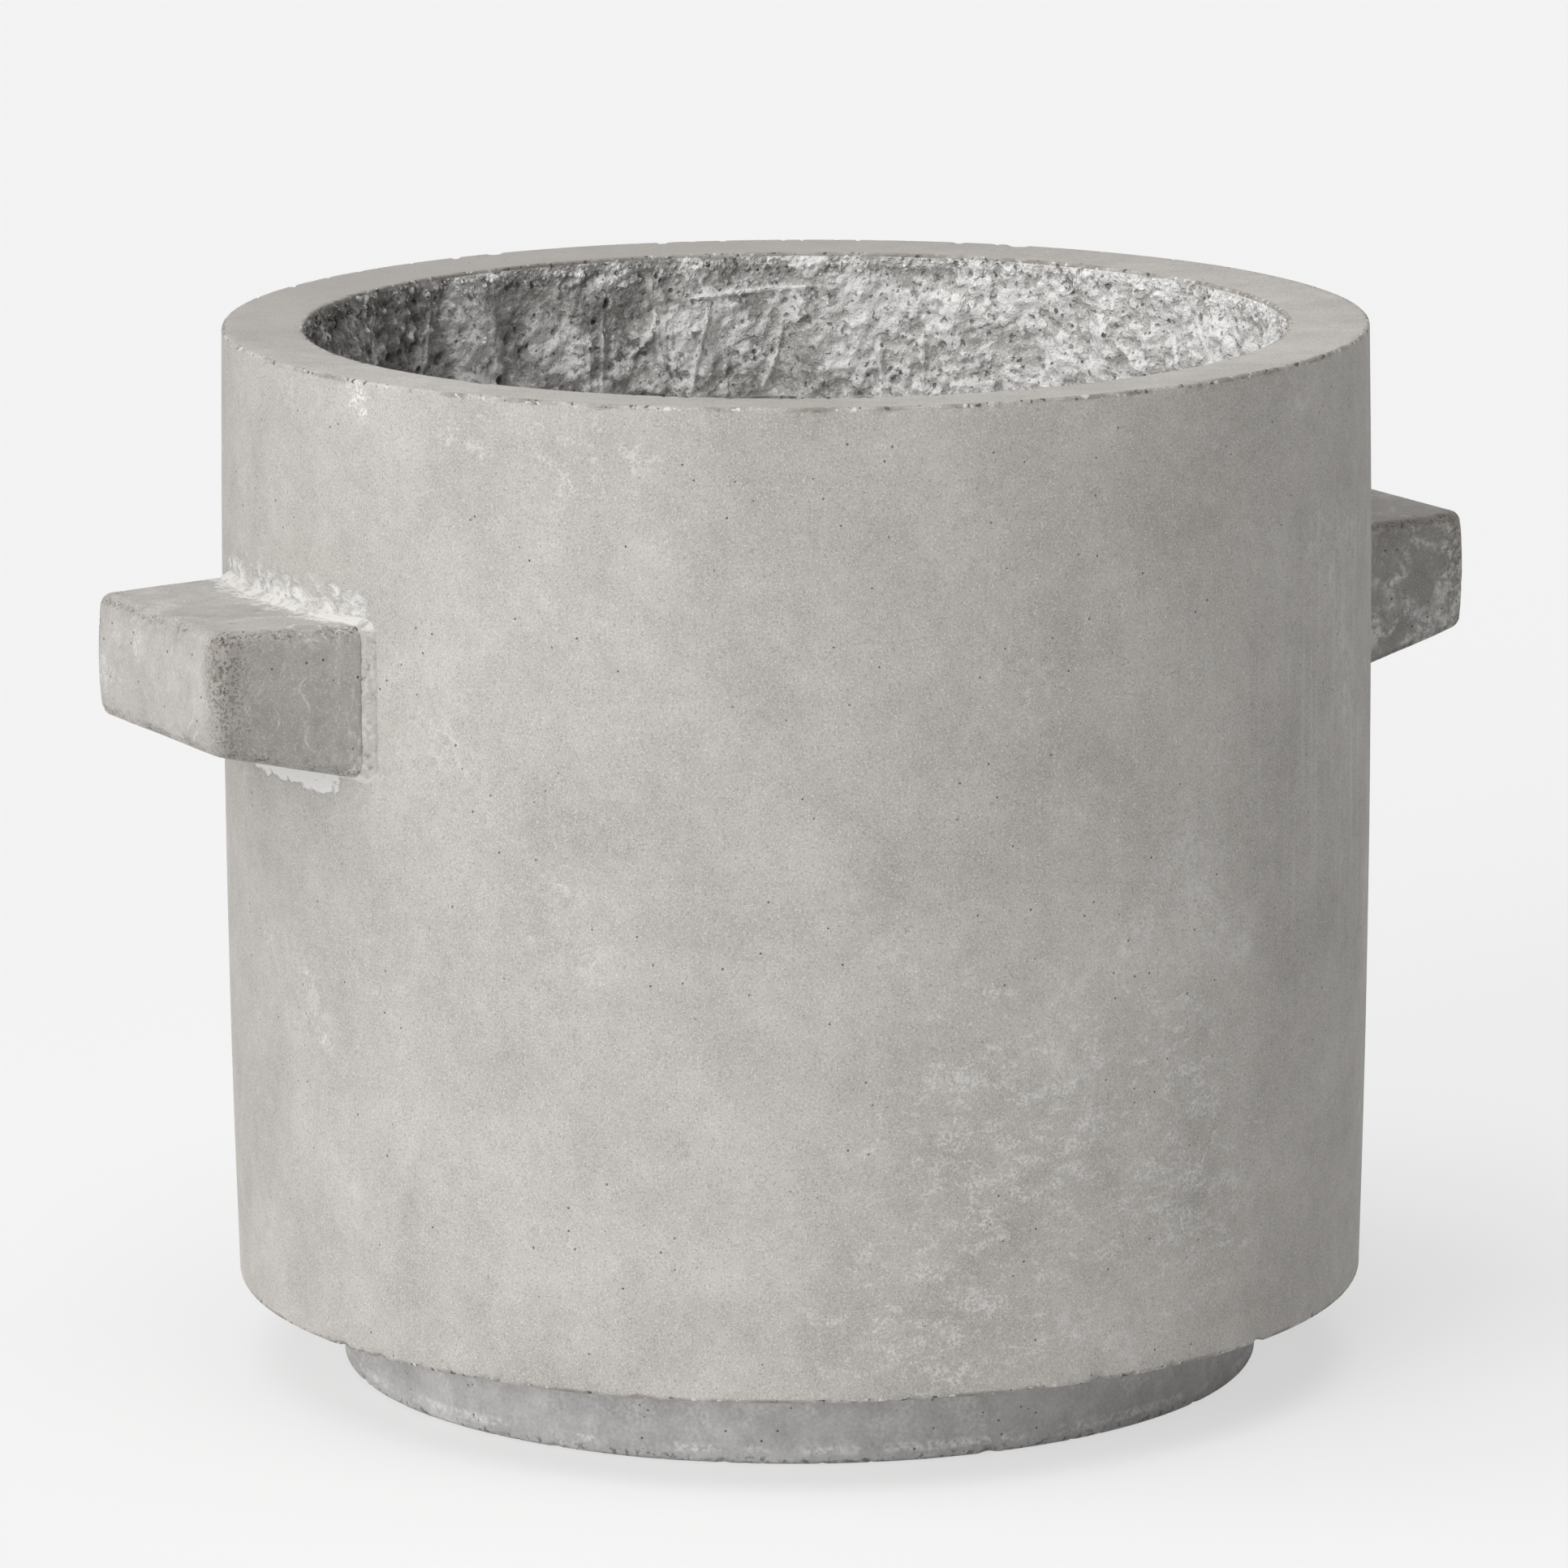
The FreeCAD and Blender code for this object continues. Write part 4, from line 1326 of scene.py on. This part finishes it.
def grey_tube(colours):
    """Extruded PVC tube: satin grey with fine draw lines and cement dust in its marks."""
    material, tree, shader, place = new_finish("extruded_pvc")
    tone = layered_tone(tree, place, [(16, 2, 0.6), (2, 2, 0.4)])
    dust = patches(tree, place, 9, 1.5, 0.5, 0.7)
    dark_share = 0.8
    dark = [part * dark_share for part in colours.plastic]
    colour = two_tone(tree, tone, 0, 1, dark, colours.plastic)
    colour = washed(tree, colour, [(dust, 0.5, colours.face_light)])
    dull = remap(tree, dust, 0, 1, 0.38, 0.8)
    coat(tree, shader, colour, dull, [(tone, 1)], 0.05)
    return material


def moulded_rubber(colours):
    """Moulded black rubber: matte, with a grained skin and a grey bloom where it is handled."""
    material, tree, shader, place = new_finish("moulded_rubber")
    grain = layered_tone(tree, place, [(0.8, 2, 1)])
    bloom = patches(tree, place, 8, 1.2, 0.5, 0.75)
    dark_share = 0.7
    dark = [part * dark_share for part in colours.rubber]
    colour = two_tone(tree, grain, 0.2, 0.9, dark, colours.rubber)
    colour = washed(tree, colour, [(bloom, 0.18, colours.plastic)])
    dull = remap(tree, bloom, 0, 1, 0.55, 0.8)
    coat(tree, shader, colour, dull, [(grain, 1)], 0.06)
    return material


finishes = {}


def finish(builder, colours):
    """A finish by its builder, made once."""
    if builder.__name__ not in finishes:
        finishes[builder.__name__] = builder(colours)
    return finishes[builder.__name__]


def repaint(node, material):
    """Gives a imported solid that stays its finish."""
    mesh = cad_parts[node].data
    mesh.materials.clear()
    mesh.materials.append(material)


# Stage


def seen_share(tree):
    """1 for the rays that show the background: camera, glossy and transmission rays."""
    rays = add(tree, "ShaderNodeLightPath").outputs
    share = 0
    for name in ("Is Camera Ray", "Is Glossy Ray", "Is Transmission Ray"):
        share = calc(tree, "MAXIMUM", rays[name], share)
    return share


def light_world(colours, ambient):
    """Dim, even light from all round, behind a pale backdrop."""
    world = bpy.data.worlds.new("pale_room")
    tree = cleared(world)
    light = add(tree, "ShaderNodeBackground", {"Color": (1, 1, 1, 1), "Strength": ambient})
    backdrop = add(tree, "ShaderNodeBackground", {"Color": opaque(colours.floor), "Strength": 1})
    mix = add(tree, "ShaderNodeMixShader", {
        0: seen_share(tree), 1: light.outputs[0], 2: backdrop.outputs[0],
    })
    add(tree, "ShaderNodeOutputWorld", {"Surface": mix.outputs[0]})
    bpy.context.scene.world = world


def floor_finish(colours, bounce, seen, pale_share):
    """Pale paper sweep: mostly its own even tone to the eye, so that the shadow on it stays soft."""
    material = bpy.data.materials.new("pale_paper_sweep")
    tree = cleared(material)
    albedo = remap(tree, seen_share(tree), 0, 1, bounce, seen)
    paper = add(tree, "ShaderNodeBsdfDiffuse", {"Color": albedo})
    tone = add(tree, "ShaderNodeEmission", {"Color": opaque(colours.floor), "Strength": 1})
    share = product(tree, seen_share(tree), pale_share)
    mix = add(tree, "ShaderNodeMixShader", {0: share, 1: paper.outputs[0], 2: tone.outputs[0]})
    add(tree, "ShaderNodeOutputMaterial", {"Surface": mix.outputs[0]})
    return material


def lay_floor(material):
    """A round floor, wide enough to fill the picture behind the pot."""
    floor_reach = 9
    floor_drop = 0.05 * MM
    mesh = bpy.data.meshes.new("stage_floor")
    work = bmesh.new()
    bmesh.ops.create_circle(work, cap_ends=True, radius=floor_reach, segments=96)
    bmesh.ops.translate(work, verts=work.verts, vec=(0, 0, -floor_drop))
    work.to_mesh(mesh)
    work.free()
    mesh.materials.append(material)
    new_piece("stage_floor", mesh)


def hang_sun(name, azimuth, elevation, strength, spread):
    """A soft sun from an azimuth, counted from the camera to the right, and an elevation, in degrees."""
    lamp = bpy.data.lights.new(name, "SUN")
    lamp.energy = strength * math.pi
    lamp.angle = math.radians(spread)
    sun = bpy.data.objects.new(name, lamp)
    turn = facing_angle + math.radians(azimuth)
    rise = math.radians(elevation)
    towards = Vector((math.cos(turn) * math.cos(rise), math.sin(turn) * math.cos(rise), math.sin(rise)))
    sun.rotation_euler = towards.to_track_quat("Z", "Y").to_euler()
    bpy.context.scene.collection.objects.link(sun)


def place_camera():
    """The photograph's camera, a long lens a little above the rim."""
    lens = bpy.data.cameras.new("photo_camera")
    lens.lens = camera_lens
    lens.sensor_width = camera_sensor
    lens.clip_end = camera_far
    camera = bpy.data.objects.new("photo_camera", lens)
    spot = Matrix.Rotation(view_turn, 4, "Z") @ Vector((camera_aside, -camera_back, camera_height))
    tilt = Matrix.Rotation(QUARTER_TURN - camera_pitch, 4, "X")
    roll = Matrix.Rotation(camera_roll, 4, "Z")
    camera.matrix_world = Matrix.Translation(spot) @ Matrix.Rotation(view_turn, 4, "Z") @ tilt @ roll
    bpy.context.scene.collection.objects.link(camera)
    bpy.context.scene.camera = camera


# Operators


class POT_OT_cast_drum(bpy.types.Operator):
    """Turns the drum's wall, rim and floor and knocks its edges"""
    bl_idname = "flower_pot.cast_drum"
    bl_label = "Cast the drum"

    def execute(self, context):
        piece = cast_drum(context.scene.pot_sizes)
        material = finish(face_concrete, context.scene.pot_colours)
        finish_piece(piece, material, "pot", "face_concrete", "pot_shell")
        return {"FINISHED"}


class POT_OT_pack_lining(bpy.types.Operator):
    """Packs the rough lining inside the wall and scatters its crumbs"""
    bl_idname = "flower_pot.pack_lining"
    bl_label = "Pack the lining"

    def execute(self, context):
        sizes = context.scene.pot_sizes
        material = finish(lining_concrete, context.scene.pot_colours)
        edge_cover = 1.3 * MM
        high = lip_top - edge_cover
        split = high - lining_top_zone
        piece = pack_lining("packed_lining", high, split, lining_top_step, sizes.lining_segments, sizes)
        lower = pack_lining(
            "packed_lining_low", split + lining_lap, floor_top - cast_gap, lining_low_step,
            round(sizes.lining_segments * lining_low_share), sizes)
        crumbs = new_piece("lining_crumbs", piece.data.copy())
        run_tree(crumbs, crumb_tree(), {
            "Density": 9000.0, "Band density": 160000.0, "Smallest": 0.35 * MM, "Largest": sizes.crumb_size,
            "Seed": 3, "Material": material,
        })
        finish_piece(piece, material, "pot", "lining_concrete", "inner_lining")
        finish_piece(lower, material, "pot", "lining_concrete")
        finish_piece(crumbs, material, "pot", "lining_concrete")
        return {"FINISHED"}


class POT_OT_cast_lugs(bpy.types.Operator):
    """Casts the two lug handles and wears their edges"""
    bl_idname = "flower_pot.cast_lugs"
    bl_label = "Cast the lugs"

    def execute(self, context):
        material = finish(lug_concrete, context.scene.pot_colours)
        corner = Vector((lug_high.x, lug_end_width / 2, lug_high.z))
        knocks = {
            "right_lug": [(corner, 7 * MM)],
            "left_lug": [(Vector((-corner.x, -corner.y, corner.z)), 9 * MM)],
        }
        sizes = context.scene.pot_sizes
        # The right lug is painted darker all over: damp paste, and painted shade where the drum shades it
        for name, side, seed, damp_and_shade in (("right_lug", 1, 11.0, 1), ("left_lug", -1, 12.0, 0)):
            piece = cast_lug("concrete_" + name, name, side, seed, damp_and_shade, knocks[name], sizes)
            finish_piece(piece, material, "pot", "lug_concrete", name)
        return {"FINISHED"}


class POT_OT_strike_mortar(bpy.types.Operator):
    """Strikes the lime mortar round the lugs' roots"""
    bl_idname = "flower_pot.strike_mortar"
    bl_label = "Strike the mortar"

    def execute(self, context):
        material = finish(lime_mortar, context.scene.pot_colours)
        for name, side, seed in (("right_lug_mortar", 1, 21.0), ("left_lug_mortar", -1, 22.0)):
            piece = strike_mortar("struck_" + name, name, side, seed, context.scene.pot_sizes)
            finish_piece(piece, material, "pot", "lime_mortar", name)
        repaint("foot_mortar", material)
        return {"FINISHED"}


class POT_OT_cast_foot(bpy.types.Operator):
    """Turns the recessed foot and chips its lower edge"""
    bl_idname = "flower_pot.cast_foot"
    bl_label = "Cast the foot"

    def execute(self, context):
        piece = cast_foot(context.scene.pot_sizes)
        material = finish(foot_concrete, context.scene.pot_colours)
        finish_piece(piece, material, "pot", "foot_concrete", "foot_plinth")
        return {"FINISHED"}


class POT_OT_fit_drain(bpy.types.Operator):
    """Moulds the drain plug and finishes its sleeve"""
    bl_idname = "flower_pot.fit_drain"
    bl_label = "Fit the drain"

    def execute(self, context):
        colours = context.scene.pot_colours
        piece = turn_piece("moulded_plug", plug_outline(), context.scene.pot_sizes.plug_segments)
        finish_piece(piece, finish(moulded_rubber, colours), "plug", "black_rubber", "drain_plug")
        repaint("drain_sleeve", finish(grey_tube, colours))
        return {"FINISHED"}


class POT_OT_finish_steel(bpy.types.Operator):
    """Finishes the wires and dowels that are cast in"""
    bl_idname = "flower_pot.finish_steel"
    bl_label = "Finish the steel"

    def execute(self, context):
        material = finish(drawn_steel, context.scene.pot_colours)
        bars = ("lining_hoops", "lining_uprights", "right_lug_dowels", "left_lug_dowels", "foot_dowels")
        for node in bars:
            repaint(node, material)
        return {"FINISHED"}


class POT_OT_set_stage(bpy.types.Operator):
    """Lays the pale floor and sets the lights and the camera"""
    bl_idname = "flower_pot.set_stage"
    bl_label = "Set the stage"

    def execute(self, context):
        colours = context.scene.pot_colours
        context.scene.view_settings.view_transform = "Standard"
        place_camera()
        light_world(colours, ambient=0.02)
        lay_floor(floor_finish(colours, bounce=0.78, seen=0.92, pale_share=0.62))
        for name, azimuth, elevation, strength, spread in (
            ("key", -35, 14, 0.62, 45), ("overhead", -30, 80, 0.58, 60),
            ("left_fill", -90, 35, 0.16, 45), ("right_rim", 112, 15, 0.07, 40),
        ):
            hang_sun(name, azimuth, elevation, strength, spread)
        return {"FINISHED"}


class POT_PT_panel(bpy.types.Panel):
    """Lists the pot's pieces in the order they are made"""
    bl_idname = "POT_PT_panel"
    bl_label = "Flower Pot"
    bl_space_type = "VIEW_3D"
    bl_region_type = "UI"
    bl_category = "Flower Pot"

    def draw(self, context):
        for operator in operators:
            self.layout.operator(operator.bl_idname)


operators = (
    POT_OT_cast_drum,
    POT_OT_pack_lining,
    POT_OT_cast_lugs,
    POT_OT_strike_mortar,
    POT_OT_cast_foot,
    POT_OT_fit_drain,
    POT_OT_finish_steel,
    POT_OT_set_stage,
)
classes = (PotSizes, PotColours) + operators + (POT_PT_panel,)


def register():
    for item in classes:
        bpy.utils.register_class(item)
    bpy.types.Scene.pot_sizes = bpy.props.PointerProperty(type=PotSizes)
    bpy.types.Scene.pot_colours = bpy.props.PointerProperty(type=PotColours)


def unregister():
    del bpy.types.Scene.pot_sizes
    del bpy.types.Scene.pot_colours
    for item in reversed(classes):
        bpy.utils.unregister_class(item)


def main():
    register()
    for operator in operators:
        getattr(bpy.ops.flower_pot, operator.bl_idname.split(".")[1])()


if __name__ == "__main__":
    main()
